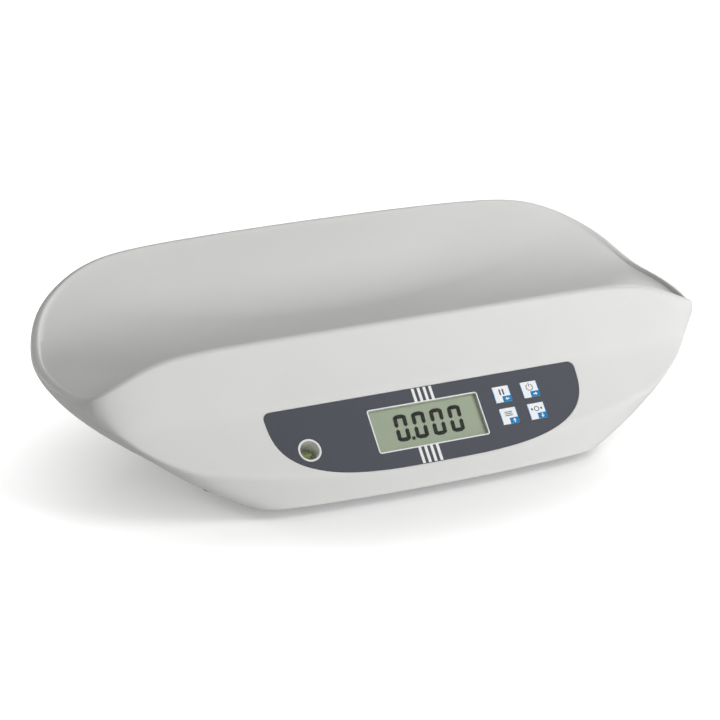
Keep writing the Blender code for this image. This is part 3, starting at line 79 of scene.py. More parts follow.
def add_node(
    tree: bpy.types.NodeTree, kind: str, settings: Optional[dict] = None, links: Optional[dict] = None
) -> bpy.types.Node:
    """Adds one shader node.

    Args:
        tree: The node tree it goes in.
        kind: Blender's node type.
        settings: Properties and socket values by name or socket index.
        links: Output sockets to join to this node's inputs, by name or index.

    Returns:
        The new node.
    """
    node = tree.nodes.new(kind)
    for name, value in (settings or {}).items():
        if isinstance(name, str) and hasattr(node, name):
            setattr(node, name, value)
        else:
            node.inputs[name].default_value = value
    for name, source in (links or {}).items():
        tree.links.new(source, node.inputs[name])
    return node


def add_object(name: str, data: bpy.types.ID) -> bpy.types.Object:
    """Puts an object that shows the data into the scene."""
    made = bpy.data.objects.new(name, data)
    bpy.context.scene.collection.objects.link(made)
    return made


def add_mesh(name: str, points: Iterable, faces: Sequence) -> bpy.types.Object:
    """Puts an object with a mesh of its own into the scene."""
    mesh = bpy.data.meshes.new(name)
    mesh.from_pydata([tuple(point) for point in points], [], faces)
    return add_object(name, mesh)


def smooth(mesh: bpy.types.Mesh, sharp_degrees: float = SHARP_EDGE) -> None:
    """Smooths a mesh, but keeps the edges that turn by more than an angle."""
    mesh.shade_smooth()
    mesh.set_sharp_from_angle(angle=math.radians(sharp_degrees))


class Marks(Enum):
    """How a surface was made, which sets the direction of its fine marks."""

    GRAIN = (1.0, 1.0, 1.0)
    BRUSHED_X = (0.04, 1.0, 1.0)
    TURNED_Z = (1.0, 1.0, 0.08)


@dataclass(frozen=True)
class Finish:
    """One real material with the marks that its making leaves."""

    name: str
    colour: str
    shade: str
    roughness: float
    grain_mm: float
    grain_depth_mm: float
    mottle_mm: float = 40.0
    roughness_spread: float = 0.06
    metallic: float = 0.0
    specular: float = 0.5
    marks: Marks = Marks.GRAIN
    coat: float = 0.0

    def material(self) -> bpy.types.Material:
        """Makes the material once and hands the same one out after that."""
        found = bpy.data.materials.get(self.name)
        return found or self.build()

    def build(self) -> bpy.types.Material:
        """Builds the node tree: mottled colour, uneven gloss and a fine bump.

        Returns:
            The new material.
        """
        made = bpy.data.materials.new(self.name)
        made.use_nodes = True
        tree = made.node_tree
        shader = tree.nodes["Principled BSDF"]
        shader.inputs["Metallic"].default_value = self.metallic
        shader.inputs["Specular IOR Level"].default_value = self.specular
        shader.inputs["Coat Weight"].default_value = self.coat
        place = add_node(tree, "ShaderNodeTexCoord").outputs["Object"]
        mottle = add_node(
            tree,
            "ShaderNodeTexNoise",
            {"Scale": 1 / (self.mottle_mm * MM), "Detail": 3.0, "Roughness": 0.55},
            {"Vector": place},
        ).outputs["Fac"]
        tint = add_node(
            tree,
            "ShaderNodeMix",
            {"data_type": "RGBA", 6: linear(self.colour), 7: linear(self.shade)},
            {0: mottle},
        )
        tree.links.new(tint.outputs[2], shader.inputs["Base Color"])
        stretch = add_node(
            tree, "ShaderNodeMapping", {"Scale": self.marks.value}, {"Vector": place}
        ).outputs["Vector"]
        grain = add_node(
            tree,
            "ShaderNodeTexNoise",
            {"Scale": 1 / (self.grain_mm * MM), "Detail": 2.0, "Roughness": 0.6},
            {"Vector": stretch},
        ).outputs["Fac"]
        gloss = add_node(
            tree,
            "ShaderNodeMapRange",
            {3: self.roughness - self.roughness_spread / 2, 4: self.roughness + self.roughness_spread / 2},
            {0: grain},
        ).outputs[0]
        tree.links.new(gloss, shader.inputs["Roughness"])
        bump = add_node(
            tree,
            "ShaderNodeBump",
            {"Strength": 0.6, "Distance": self.grain_depth_mm * MM},
            {"Height": grain},
        ).outputs["Normal"]
        tree.links.new(bump, shader.inputs["Normal"])
        return made

    def lay_over(
        self, made: bpy.types.Material, colour: str, mask: bpy.types.NodeSocket
    ) -> bpy.types.Material:
        """Lays another colour over the finish's own where a mask is 1."""
        tree = made.node_tree
        base = tree.nodes["Principled BSDF"].inputs["Base Color"]
        under = base.links[0].from_socket
        both = add_node(
            tree, "ShaderNodeMix", {"data_type": "RGBA", 7: linear(colour)}, {0: mask, 6: under}
        )
        tree.links.new(both.outputs[2], base)
        return made


@dataclass(frozen=True)
class ClearFinish(Finish):
    """A clear moulding, seen through with a faint tint and its own gloss."""

    alpha: float = 0.15

    def build(self) -> bpy.types.Material:
        """Builds the moulding and makes it see-through.

        Returns:
            The new material.
        """
        made = super().build()
        made.node_tree.nodes["Principled BSDF"].inputs["Alpha"].default_value = self.alpha
        made.surface_render_method = "BLENDED"
        return made


@dataclass(frozen=True)
class BandedFinish(Finish):
    """A finish with one band of another colour at the end of the piece, such as a cell's jacket."""

    band: str = "C8A35A"
    band_share: float = 0.28

    def build(self) -> bpy.types.Material:
        """Builds the finish and lays the band over its colour.

        Returns:
            The new material.
        """
        made = super().build()
        tree = made.node_tree
        along = add_node(tree, "ShaderNodeTexCoord").outputs["Generated"]
        split = add_node(tree, "ShaderNodeSeparateXYZ", None, {0: along}).outputs[0]
        edge = add_node(
            tree, "ShaderNodeMath", {"operation": "LESS_THAN", 1: self.band_share}, {0: split}
        ).outputs[0]
        return self.lay_over(made, self.band, edge)


@dataclass(frozen=True)
class TracedFinish(Finish):
    """A circuit board's solder mask, with the copper tracks that show through it."""

    track: str = "2F7A45"
    track_mm: float = 2.54

    def build(self) -> bpy.types.Material:
        """Builds the mask and lays tracks over it on the usual 2.54 mm grid.

        Returns:
            The new material.
        """
        made = super().build()
        tree = made.node_tree
        place = add_node(tree, "ShaderNodeTexCoord").outputs["Object"]
        cells = add_node(
            tree,
            "ShaderNodeTexBrick",
            {
                "Scale": 1 / (2 * self.track_mm * MM),
                "Mortar Size": 0.06,
                "Color1": (0, 0, 0, 1),
                "Color2": (0, 0, 0, 1),
                "Mortar": (1, 1, 1, 1),
            },
            {"Vector": place},
        ).outputs["Color"]
        return self.lay_over(made, self.track, cells)


# White ABS, injection moulded with a spark-eroded texture: satin, so highlights are soft and broad.
WHITE_ABS = Finish("white_abs_moulded", "ECECEA", "E8E8E6", 0.50, 0.5, 0.012, 60.0, specular=0.14)
# Grey ABS of the base, with a coarser texture.
GREY_ABS = Finish("grey_abs_moulded", "A9ABAD", "9EA0A2", 0.55, 0.6, 0.03)
# Polyester panel foil, screen printed on its back: slate, satin and very even.
SLATE_FOIL = Finish("slate_polyester_foil", "54565F", "52545C", 0.45, 0.3, 0.004, 30.0, specular=0.1)
# Screen inks, each printed thin and even, so they look flat beside the moulded pieces.
WHITE_INK = Finish("white_screen_ink", "F4F5F4", "EFF0EF", 0.45, 0.3, 0.003)
BLUE_INK = Finish("blue_screen_ink", "0B86C6", "0A7FBD", 0.45, 0.3, 0.003, specular=0.15)
GREY_INK = Finish("grey_screen_ink", "4A4C50", "46484C", 0.5, 0.3, 0.003, specular=0.2)
# Key caps, moulded in polycarbonate and polished: whiter and glossier than the shell.
KEY_PLASTIC = Finish("white_key_polycarbonate", "F3F6F8", "EDF1F4", 0.38, 0.3, 0.004)
# Clear polycarbonate window: a faint grey-green tint and a clean gloss.
CLEAR_WINDOW = ClearFinish("clear_polycarbonate", "BFC8BA", "B9C3B4", 0.12, 0.8, 0.002, alpha=0.02)
# Reflective display glass: grey-green and even, with segments that stay dark at any angle.
LCD_GLASS = Finish("reflective_lcd_glass", "A4B198", "9EAA93", 0.35, 0.4, 0.002, 25.0, specular=0.2)
LCD_INK = Finish("lcd_dark_segment", "070A07", "0A0D0A", 0.6, 0.4, 0.001, specular=0.1)
# Moulded nylon: the glass fibre in the black one leaves it dull, the white one is satin.
BLACK_NYLON = Finish("black_glass_filled_nylon", "1B1B1C", "222223", 0.55, 0.5, 0.02)
WELL_NYLON = Finish("white_moulded_nylon", "F3F3F1", "EFEFED", 0.45, 0.4, 0.01)
# Circuit board: glossy mask over its tracks, and the dull moulded body of the chip.
SOLDER_MASK = TracedFinish("green_solder_mask", "12502B", "0F4525", 0.35, 0.4, 0.01)
EPOXY = Finish("black_moulded_epoxy", "1A1A1C", "202022", 0.5, 0.3, 0.02)
# Spirit level: yellow-green liquid under a clear acrylic dome.
LEVEL_LIQUID = Finish("green_level_liquid", "7E9136", "748730", 0.12, 0.5, 0.002, 6.0)
LEVEL_DOME = ClearFinish("clear_acrylic_dome", "DDE5CC", "D5DEC2", 0.06, 0.8, 0.001, alpha=0.16)
# Milled aluminium bar and spacers: bright, with fine lines along the cutter's way.
MILLED_ALUMINIUM = Finish(
    "milled_aluminium", "C9CBCD", "BDBFC1", 0.35, 0.4, 0.01, 20.0, 0.12, 1.0, 0.5, Marks.BRUSHED_X
)
# Zinc-plated steel: greyer than nickel, with turned marks on screws and studs.
ZINC_STEEL = Finish(
    "zinc_plated_steel", "B3B6BA", "A6A9AC", 0.33, 0.35, 0.008, 12.0, 0.14, 1.0, 0.5, Marks.TURNED_Z
)
# Nickel-plated contact strip: smooth and a little warm.
NICKEL = Finish("nickel_plated_strip", "C6C2B6", "B8B4A8", 0.28, 0.3, 0.005, 10.0, 0.1, 1.0)
# Moulded rubber: black and dull, so that only its ribs catch light.
RUBBER = Finish("black_moulded_rubber", "161617", "1D1D1E", 0.75, 0.5, 0.05)
# A cell's shrunk and printed film: glossy, dark blue with a gold end.
JACKET = BandedFinish("printed_cell_jacket", "262B4E", "222748", 0.35, 0.5, 0.004)
# Extruded PVC sheath of the lead: grey and satin.
PVC = Finish("grey_pvc_sheath", "4A4A4C", "434345", 0.55, 0.5, 0.02)


def dress(node: str, finish: Finish) -> None:
    """Gives a carried-over CAD node its finish.

    Args:
        node: The CAD node's name.
        finish: What it is made of.
    """
    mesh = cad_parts[node].data
    mesh.materials.clear()
    mesh.materials.append(finish.material())
    smooth(mesh)
    LOG.info("dressed %s in %s", node, finish.name)


def make_piece(
    name: str,
    points: Sequence,
    faces: Sequence,
    finish: Finish,
    body: str,
    replaced: Iterable[str] = (),
    sharp_degrees: float = SHARP_EDGE,
) -> bpy.types.Object:
    """Makes one visible piece and fixes it to a body.

    Args:
        name: The piece's name.
        points: Vertices in the row frame.
        faces: Vertex numbers of each face.
        finish: What it is made of.
        body: The CAD body it rides on.
        replaced: CAD nodes that it stands for.
        sharp_degrees: Edges sharper than this stay sharp.

    Returns:
        The new object.
    """
    piece = add_mesh(name, points, faces)
    mesh = piece.data
    shape = bmesh.new()
    shape.from_mesh(mesh)
    bmesh.ops.recalc_face_normals(shape, faces=shape.faces[:])
    shape.to_mesh(mesh)
    shape.free()
    mesh.materials.append(finish.material())
    smooth(mesh, sharp_degrees)
    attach(piece, body)
    if replaced:
        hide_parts(*replaced)
    LOG.info("made %s, %d faces, on %s", name, len(faces), body)
    return piece


def stack_rings(rings: Sequence[np.ndarray], closed_ends: bool = True) -> tuple[np.ndarray, list]:
    """Joins rings of equal point counts into one skin.

    Args:
        rings: The rings, in order along the skin.
        closed_ends: Whether a fan closes the first and the last ring.

    Returns:
        Points and faces.
    """
    count = len(rings[0])
    points = np.concatenate(rings)
    step = np.arange(count)
    after = (step + 1) % count
    faces: list = []
    for row in range(len(rings) - 1):
        low, high = row * count, (row + 1) * count
        faces += np.stack([low + step, low + after, high + after, high + step], 1).tolist()
    if closed_ends:
        for row, ring in ((0, rings[0]), (len(rings) - 1, rings[-1])):
            centre = len(points)
            points = np.concatenate([points, ring.mean(axis=0)[None]])
            first = row * count
            faces += [[first + i, first + j, centre] for i, j in zip(step, after)]
    return points, faces


def soft_max(first: np.ndarray, second: np.ndarray, blend: float | np.ndarray) -> np.ndarray:
    """The larger of two values, with a rounded change from one to the other."""
    near = np.clip(blend - np.abs(first - second), 0, None) / blend
    return np.maximum(first, second) + near**2 * blend / 4


def signed_power(value: np.ndarray, power: np.ndarray) -> np.ndarray:
    """A power that keeps its value's sign."""
    return np.sign(value) * np.abs(value) ** power


def arc_spread(count: int) -> np.ndarray:
    """Shares from 0 to 1 that crowd towards both ends, where the creases are."""
    return (1 - np.cos(np.linspace(0, math.pi, count))) / 2


class Arrow(Enum):
    """Which way a key's blue mark points."""

    LEFT = 180.0
    RIGHT = 0.0
    UP = 90.0
    DOWN = 270.0


KEYS = {"hold": Arrow.LEFT, "power": Arrow.RIGHT, "print": Arrow.UP, "tare": Arrow.DOWN}


@dataclass
class RimAndBase:
    """One of the hull's two outlines: a rounded rectangle with bowed sides."""

    half_length: float
    front: float
    back: float
    front_power: float
    back_power: float
    front_bow: float
    end_bow: float

    def at(self, angle: np.ndarray) -> tuple[np.ndarray, np.ndarray]:
        """Finds the outline's x and y.

        Args:
            angle: Outline angles, from the right end towards the back.

        Returns:
            x and y at each angle.
        """
        power = np.where(np.sin(angle) < 0, self.front_power, self.back_power)
        along = signed_power(np.cos(angle), 2 / power)
        across = signed_power(np.sin(angle), 2 / power)
        middle = (self.front + self.back) / 2
        depth = (self.back - self.front) / 2
        x = self.half_length * along * (1 - self.end_bow * across**2)
        return x, middle + depth * across * (1 - self.front_bow * along**2)


@dataclass
class HullForm:
    """The shell's outer form: it flares from the base to the rim and is cut by the panel and the band."""

    base_z: float = 0.011
    base: RimAndBase = field(
        default_factory=lambda: RimAndBase(0.192, -0.154, 0.098, 14.0, 7.5, 0.08, 0.12)
    )
    rim: RimAndBase = field(default_factory=lambda: RimAndBase(0.312, -0.149, 0.148, 8.5, 6.7, 0.12, 0.132))
    rim_heights: tuple[float, ...] = (0.140, 0.1384, 0.1178, 0.1128, 0.1078, 0.1235, 0.1365, 0.162, 0.1632)
    rim_places: tuple[float, ...] = (10.0, 25.0, 70.0, 90.0)
    rim_easing: float = 0.016
    rim_steps: int = 4096
    shoulder: float = 0.0062
    shoulder_power: int = 4
    front_turn: float = 0.4
    flare_along: float = 1.6
    flare_across: float = 1.7
    flare_across_front: float = 4.4
    flare_front_corner: float = 2.5
    flare_back_corner: float = 1.75
    crease_y: float = -0.099
    crease_z: float = 0.085
    panel_tilt: float = math.radians(45)
    band_lean: float = math.radians(17)
    crease_blend: float = 0.003
    edge_blend: float = 0.004
    corner_blend: float = 0.040
    blend_rise: float = 0.030

    def rim_height(self, angle: np.ndarray) -> np.ndarray:
        """The rim's height: low at the ends, higher at the front, highest at the back.

        Args:
            angle: Outline angles.

        Returns:
            Heights in metres.
        """
        places, heights = self.eased_rim
        return np.interp(angle, places, heights, period=2 * math.pi)

    @cached_property
    def eased_rim(self) -> tuple[np.ndarray, np.ndarray]:
        """The rim's heights, eased along its own length so that no kink is left."""
        places = np.linspace(-math.pi, math.pi, self.rim_steps + 1)
        x, y = self.rim.at(places)
        run = np.concatenate([[0.0], np.cumsum(np.hypot(np.diff(x), np.diff(y)))])
        even = np.linspace(0, run[-1], self.rim_steps, endpoint=False)
        waves = np.fft.rfft(np.interp(even, run, self.drawn_rim(places)))
        order = np.arange(len(waves)) / run[-1]
        waves = waves * np.exp(-2 * (math.pi * order * self.rim_easing) ** 2)
        eased = np.fft.irfft(waves, self.rim_steps)
        return places, np.interp(run, even, eased, period=run[-1])

    def drawn_rim(self, angle: np.ndarray) -> np.ndarray:
        """The rim's heights as drawn through a few places, before they are eased.

        Args:
            angle: Outline angles.

        Returns:
            Heights in metres.
        """
        back = np.radians(self.rim_places)
        places = np.concatenate([-back[::-1], [0.0], back])
        values = np.array(self.rim_heights)
        lift = np.arcsin(np.clip(np.sin(angle), -1, 1))
        steps = np.diff(values) / np.diff(places)
        slopes = np.zeros(len(values))
        for i in range(1, len(values) - 1):
            if steps[i - 1] * steps[i] > 0:
                slopes[i] = 2 * steps[i - 1] * steps[i] / (steps[i - 1] + steps[i])
        k = np.clip(np.searchsorted(places, lift) - 1, 0, len(places) - 2)
        width = places[k + 1] - places[k]
        t = (lift - places[k]) / width
        start = (1 + 2 * t) * (1 - t) ** 2 * values[k] + t * (1 - t) ** 2 * width * slopes[k]
        end = t**2 * (3 - 2 * t) * values[k + 1] + t**2 * (t - 1) * width * slopes[k + 1]
        return start + end

    def uncut(self, angle: np.ndarray, share: np.ndarray) -> np.ndarray:
        """The flared wall before the front is cut.

        Args:
            angle: Outline angles.
            share: Height shares, from 0 at the base to 1 at the rim.

        Returns:
            Points, one per angle.
        """
        base_x, base_y = self.base.at(angle)
        rim_x, rim_y = self.rim.at(angle)
        at_corner = np.sin(2 * angle) ** 2
        corner = np.where(np.sin(angle) < 0, self.flare_front_corner, self.flare_back_corner)
        along = self.flare_along + (corner - self.flare_along) * at_corner
        ahead = np.clip(0.5 - np.sin(angle) / self.front_turn, 0, 1)
        side = self.flare_across + (self.flare_across_front - self.flare_across) * ahead
        across = side + (corner - side) * at_corner
        power = 2 / self.rim.front_power
        turn = np.arctan2(np.abs(np.sin(angle)) ** power, np.abs(np.cos(angle)) ** power)
        sharpness = self.shoulder_power
        swell = np.where(np.sin(angle) < 0, self.shoulder * np.sin(2 * turn) ** sharpness, 0.0)
        swell = swell * np.sin(math.pi * share**sharpness) * np.sign(np.cos(angle))
        x = base_x + (rim_x - base_x) * (1 - (1 - share) ** along) + swell
        y = base_y + (rim_y - base_y) * (1 - (1 - share) ** across)
        z = self.base_z + (self.rim_height(angle) - self.base_z) * share
        return np.stack([x, y, z], axis=-1)

    def front_limit(self, z: np.ndarray, inset: float = 0.0, blend: float = 0.0) -> np.ndarray:
        """The foremost y at each height: the panel's plane, and the band above its crease.

        Args:
            z: Heights.
            inset: How far behind the planes the limit lies, square to them.
            blend: How wide the crease between them is rounded; 0 keeps it sharp.

        Returns:
            y at each height.
        """
        panel = self.crease_y + (z - self.crease_z) * math.tan(self.panel_tilt)
        band = self.crease_y + (z - self.crease_z) * math.tan(self.band_lean)
        panel = panel + inset / math.cos(self.panel_tilt)
        band = band + inset / math.cos(self.band_lean)
        return -soft_max(-panel, -band, blend) if blend else np.minimum(panel, band)

    def cut(self, points: np.ndarray, inset: float = 0.0) -> np.ndarray:
        """Brings what stands in front of the panel and the band back to them, with rounded edges."""
        limit = self.front_limit(points[..., 2], inset, self.crease_blend)
        moved = points.copy()
        rise = np.clip((points[..., 2] - self.crease_z) / self.blend_rise + 0.5, 0, 1)
        blend = self.edge_blend + (self.corner_blend - self.edge_blend) * rise**2 * (3 - 2 * rise)
        moved[..., 1] = soft_max(points[..., 1], limit, blend)
        return moved


def prisms(place: Matrix, outlines: Sequence[Outline], low: float, high: float) -> tuple[list, list]:
    """Flat shapes on a plane, each given a thickness.

    Args:
        place: Takes the plane's own axes to the row frame.
        outlines: Anticlockwise outlines on the plane.
        low: How far above the plane they start.
        high: How far above the plane they end.

    Returns:
        Points in the row frame, and faces.
    """
    points: list = []
    faces: list = []
    for outline in outlines:
        first, count = len(points), len(outline)
        points += [place @ Vector((u, v, low)) for u, v in outline]
        points += [place @ Vector((u, v, high)) for u, v in outline]
        faces.append([first + i for i in reversed(range(count))])
        faces.append([first + count + i for i in range(count)])
        for i in range(count):
            j = (i + 1) % count
            faces.append([first + i, first + j, first + count + j, first + count + i])
    return points, faces


@dataclass
class PanelPlane:
    """The slanted panel's own axes: u to the right, v up it, w out of it."""

    hull: HullForm
    centre_z: float = 0.058

    def matrix(self) -> Matrix:
        """Takes panel places to the row frame."""
        tilt = self.hull.panel_tilt
        y = self.hull.crease_y + (self.centre_z - self.hull.crease_z) * math.tan(tilt)
        up = Vector((0, math.sin(tilt), math.cos(tilt)))
        out = Vector((0, -math.cos(tilt), math.sin(tilt)))
        turn = Matrix((Vector((1, 0, 0)), up, out)).transposed().to_4x4()
        return Matrix.Translation((0, y, self.centre_z)) @ turn

    def of_node(self, node: str) -> np.ndarray:
        """A CAD node's points, as places on the panel."""
        back = self.matrix().inverted()
        return np.array([back @ v.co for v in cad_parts[node].data.vertices])

    def extent(self, node: str) -> tuple[np.ndarray, np.ndarray]:
        """A CAD node's lowest and highest u, v and w."""
        places = self.of_node(node)
        return places.min(axis=0), places.max(axis=0)

    def prisms(self, outlines: Sequence[Outline], low: float, high: float) -> tuple[list, list]:
        """Flat shapes on the panel, each given a thickness between two values of w."""
        return prisms(self.matrix(), outlines, low, high)


def convex_outline(places: np.ndarray, grow: float) -> Outline:
    """The outline round a set of places, moved outwards.

    Args:
        places: u and v of each place.
        grow: How far outwards the outline moves.

    Returns:
        An anticlockwise outline.
    """
    order = sorted({(round(float(u), 6), round(float(v), 6)) for u, v in places})
    sides: list[Outline] = []
    for run in (order, order[::-1]):
        side: Outline = []
        for point in run:
            while len(side) > 1 and turn_of(side[-2], side[-1], point) <= 0:
                side.pop()
            side.append(point)
        sides.append(side[:-1])
    ring = np.array(sides[0] + sides[1])
    along = np.roll(ring, -1, axis=0) - np.roll(ring, 1, axis=0)
    normal = np.stack([along[:, 1], -along[:, 0]], axis=1)
    normal /= np.linalg.norm(normal, axis=1)[:, None]
    return [tuple(point) for point in ring + grow * normal]


def turn_of(a: tuple, b: tuple, c: tuple) -> float:
    """Twice the area of a triangle: positive where the path turns left."""
    return (b[0] - a[0]) * (c[1] - a[1]) - (b[1] - a[1]) * (c[0] - a[0])


def rectangle(u: float, v: float, width: float, height: float) -> Outline:
    """An upright rectangle about its centre."""
    corners = ((-1, -1), (1, -1), (1, 1), (-1, 1))
    return [(u + a * width / 2, v + b * height / 2) for a, b in corners]


def stroke(path: Outline, width: float) -> list[Outline]:
    """Draws a line of one width as a chain of short plates.

    Args:
        path: The line's middle.
        width: How wide it is.

    Returns:
        One outline per stretch.
    """
    plates = []
    for (u0, v0), (u1, v1) in zip(path, path[1:]):
        length = math.hypot(u1 - u0, v1 - v0)
        du, dv = (u1 - u0) / length, (v1 - v0) / length
        nu, nv = -dv * width / 2, du * width / 2
        plates.append([(u0 - nu, v0 - nv), (u1 - nu, v1 - nv), (u1 + nu, v1 + nv), (u0 + nu, v0 + nv)])
    return plates


def arc(u: float, v: float, radius: float, start: float, end: float, steps: int = 18) -> Outline:
    """Points along a circle's arc, between two angles in degrees."""
    return [
        (
            u + radius * math.cos(math.radians(start + (end - start) * i / steps)),
            v + radius * math.sin(math.radians(start + (end - start) * i / steps)),
        )
        for i in range(steps + 1)
    ]


@dataclass
class TrayShell:
    """The one-piece shell, with its rolled rim, its trough-shaped tray and its panel openings."""

    hull: HullForm
    panel: PanelPlane
    columns: int = 560
    corner_share: float = 0.45
    wall: float = 0.003
    rim_width: float = 0.0062
    rim_radius: float = 0.0045
    lip_width: float = 0.0088
    lip_drop: float = 0.0032
    pocket_depth: float = 0.014
    floor_z: float = 0.100
    centre_y: float = 0.020
    front_y: float = -0.075
    front_power: float = 2.2
    knee_y: float = 0.088
    knee_bow: float = 0.045
    knee_blend: float = 0.028
    edge_power: float = 3.0
    rounding: float = 0.060
    tray_rows: int = 40
    tray_row_power: float = 1.25
    tray_reach_share: float = 0.985
    # Rows of the outer wall under the lower crease, between the creases and over the upper one.
    wall_rows: tuple[int, int, int] = (16, 26, 26)
    rim_rows: int = 6
    lip_rows: int = 4
    lip_power: float = 1.8
    inner_rows: int = 15
    rim_probes: int = 6000
    wall_probes: int = 241
    inner_probes: int = 61
    end_crease_share: float = 0.25
    least_gap_share: float = 0.03
    front_depth: float = 0.0015
    foil_gap: float = 0.0003
    side_gap: float = 0.0004
    overrun: float = 0.002

    def column_angles(self) -> np.ndarray:
        """Outline angles that share out the rim's length, with more at its corners."""
        quarter = math.pi / 2
        dense = np.linspace(-quarter, quarter, self.rim_probes)
        rim = self.hull.cut(self.hull.uncut(dense, np.ones_like(dense)))
        length = np.linalg.norm(np.diff(rim, axis=0), axis=1)
        turn = np.diff(dense)
        weight = length / length.sum() + self.corner_share * turn / turn.sum()
        run = np.concatenate([[0.0], np.cumsum(weight)])
        half = np.interp(np.linspace(0, run[-1], self.columns // 2 + 1), run, dense)
        return np.concatenate([half, (math.pi - half[::-1])[1:-1]])

    def break_shares(self, angle: np.ndarray) -> tuple[np.ndarray, np.ndarray]:
        """Finds where each column crosses the creases.

        Args:
            angle: Outline angles.

        Returns:
            The lower and the upper height share of each column.
        """
        shares = np.linspace(0, 1, self.wall_probes)
        table = np.stack([self.hull.uncut(angle, np.full_like(angle, t)) for t in shares])
        ahead = table[..., 1] - self.hull.front_limit(table[..., 2])
        crease = (self.hull.crease_z - self.hull.base_z) / (self.hull.rim_height(angle) - self.hull.base_z)
        crossing = crease + self.end_crease_share * (1 - crease)
        for i in range(len(angle)):
            hidden = np.flatnonzero(ahead[:, i] < 0)
            if len(hidden) and hidden[0] > 0:
                k = hidden[0]
                part = ahead[k - 1, i] / (ahead[k - 1, i] - ahead[k, i])
                crossing[i] = shares[k - 1] + (shares[k] - shares[k - 1]) * part
        low = np.minimum(crossing, crease)
        high = np.maximum(crossing, crease)
        return np.minimum(low, high - self.least_gap_share), high

    def inset(self, ring: np.ndarray, distance: float) -> np.ndarray:
        """Moves a closed ring inwards, seen from above."""
        side = np.roll(ring, -1, axis=0) - np.roll(ring, 1, axis=0)
        normal = np.stack([-side[:, 1], side[:, 0]], axis=1)
        normal /= np.linalg.norm(normal, axis=1)[:, None]
        moved = ring.copy()
        moved[:, :2] += distance * normal
        return moved

    def outer_rings(self, angle: np.ndarray) -> list[np.ndarray]:
        """The outer wall from the lower edge over the rolled rim to the tray's lip."""
        low, high = self.break_shares(angle)
        top = 1 - self.rim_radius / (self.hull.rim_height(angle) - self.hull.base_z)
        rings = []
        bands = ((0 * low, low), (low, high), (high, top))
        for (start, end), count in zip(bands, self.wall_rows):
            for part in arc_spread(count)[: -1 if end is not top else None]:
                rings.append(self.hull.cut(self.hull.uncut(angle, start + (end - start) * part)))
        wall_top = rings[-1]
        for step in range(1, self.rim_rows + 1):
            turn = math.pi / 2 * step / self.rim_rows
            ring = self.inset(wall_top, self.rim_width * (1 - math.cos(turn)))
            ring[:, 2] += self.rim_radius * math.sin(turn)
            rings.append(ring)
        for step in range(1, self.lip_rows + 1):
            part = step / self.lip_rows
            reach = self.rim_width + (self.lip_width - self.rim_width) * part
            ring = self.inset(wall_top, reach)
            ring[:, 2] += self.rim_radius - self.lip_drop * part**self.lip_power
            rings.append(ring)
        return rings

    def trough(self, x: np.ndarray, y: np.ndarray) -> np.ndarray:
        """The tray's form: a nearly flat floor that bends up to a straight, steep back wall.

        Args:
            x: Places along the tray.
            y: Places across it.

        Returns:
            Heights in metres.
        """
        ahead = np.clip((self.centre_y - y) / (self.centre_y - self.front_y), 0, None)
        front, back = self.hull.rim_heights[0], self.hull.rim_heights[-1]
        rise = (front - self.floor_z) * ahead**self.front_power
        knee = self.knee_y + self.knee_bow * (x / self.hull.rim.half_length) ** 2
        wall_foot = self.hull.rim.back - self.lip_width - self.knee_y
        slope = (back - self.lip_drop - self.floor_z) / wall_foot
        wall = soft_max((y - knee) * slope, np.zeros_like(y), self.knee_blend * slope)
        return self.floor_z + rise + wall

    def tray_rings(self, lip: np.ndarray, drop: float, rows: int) -> list[np.ndarray]:
        """The tray from its lip to its middle, with corners that get rounder on the way.

        Args:
            lip: The ring where the rim ends.
            drop: How far below the tray's upper face these rings lie.
            rows: How many rings to make.

        Returns:
            The rings, without the lip.
        """
        centre = np.array([0.0, self.centre_y])
        spacing = np.linalg.norm(np.diff(lip, axis=0), axis=1).mean()
        waves = np.fft.rfft(lip, axis=0)
        order = np.arange(len(waves))[:, None] / len(lip)
        rings = []
        for row in range(1, rows + 1):
            share = 1 - self.tray_reach_share * (row / rows) ** self.tray_row_power
            width = self.rounding * math.sqrt(1 - share) / spacing
            smooth = np.fft.irfft(waves * np.exp(-2 * (math.pi * order * width) ** 2), len(lip), axis=0)
            ring = smooth.copy()
            ring[:, :2] = centre + (smooth[:, :2] - centre) * share
            over = smooth[:, 2] - self.trough(smooth[:, 0], smooth[:, 1])
            floor = self.trough(ring[:, 0], ring[:, 1])
            ring[:, 2] = floor + over * share**self.edge_power - drop
            rings.append(ring)
        return rings

    def inner_rings(self, angle: np.ndarray, lip: np.ndarray) -> list[np.ndarray]:
        """The hollow under the tray, from the lower edge up to the tray's underside."""
        shares = np.linspace(0, 1, self.inner_probes)
        rows = np.stack([self.hull.uncut(angle, np.full_like(angle, t)) for t in shares])
        around = np.roll(rows, -1, axis=1) - np.roll(rows, 1, axis=1)
        normal = np.cross(around, np.gradient(rows, axis=0))
        inside = rows - self.wall * normal / np.linalg.norm(normal, axis=2)[..., None]
        top = 1 - self.pocket_depth / (self.hull.rim_height(angle) - self.hull.base_z)
        rings = [self.inset(self.hull.cut(rows[0]), self.wall)]
        for part in np.linspace(0, 1, self.inner_rows + 1)[1:]:
            level = top * part
            ring = np.stack(
                [
                    [np.interp(level[i], shares, inside[:, i, axis]) for i in range(len(angle))]
                    for axis in range(3)
                ],
                axis=1,
            )
            rings.append(self.hull.cut(ring, self.wall))
        return rings + self.tray_rings(lip, self.wall, self.tray_rows // 3)

    def cutter(self, name: str, outlines: Sequence[Outline], depth: float) -> bpy.types.Object:
        """A hidden tool that sinks outlines into the panel.

        Args:
            name: The tool's name.
            outlines: Outlines on the panel.
            depth: How deep they go.

        Returns:
            The tool.
        """
        return add_mesh(name, *self.panel.prisms(outlines, -depth, self.overrun))

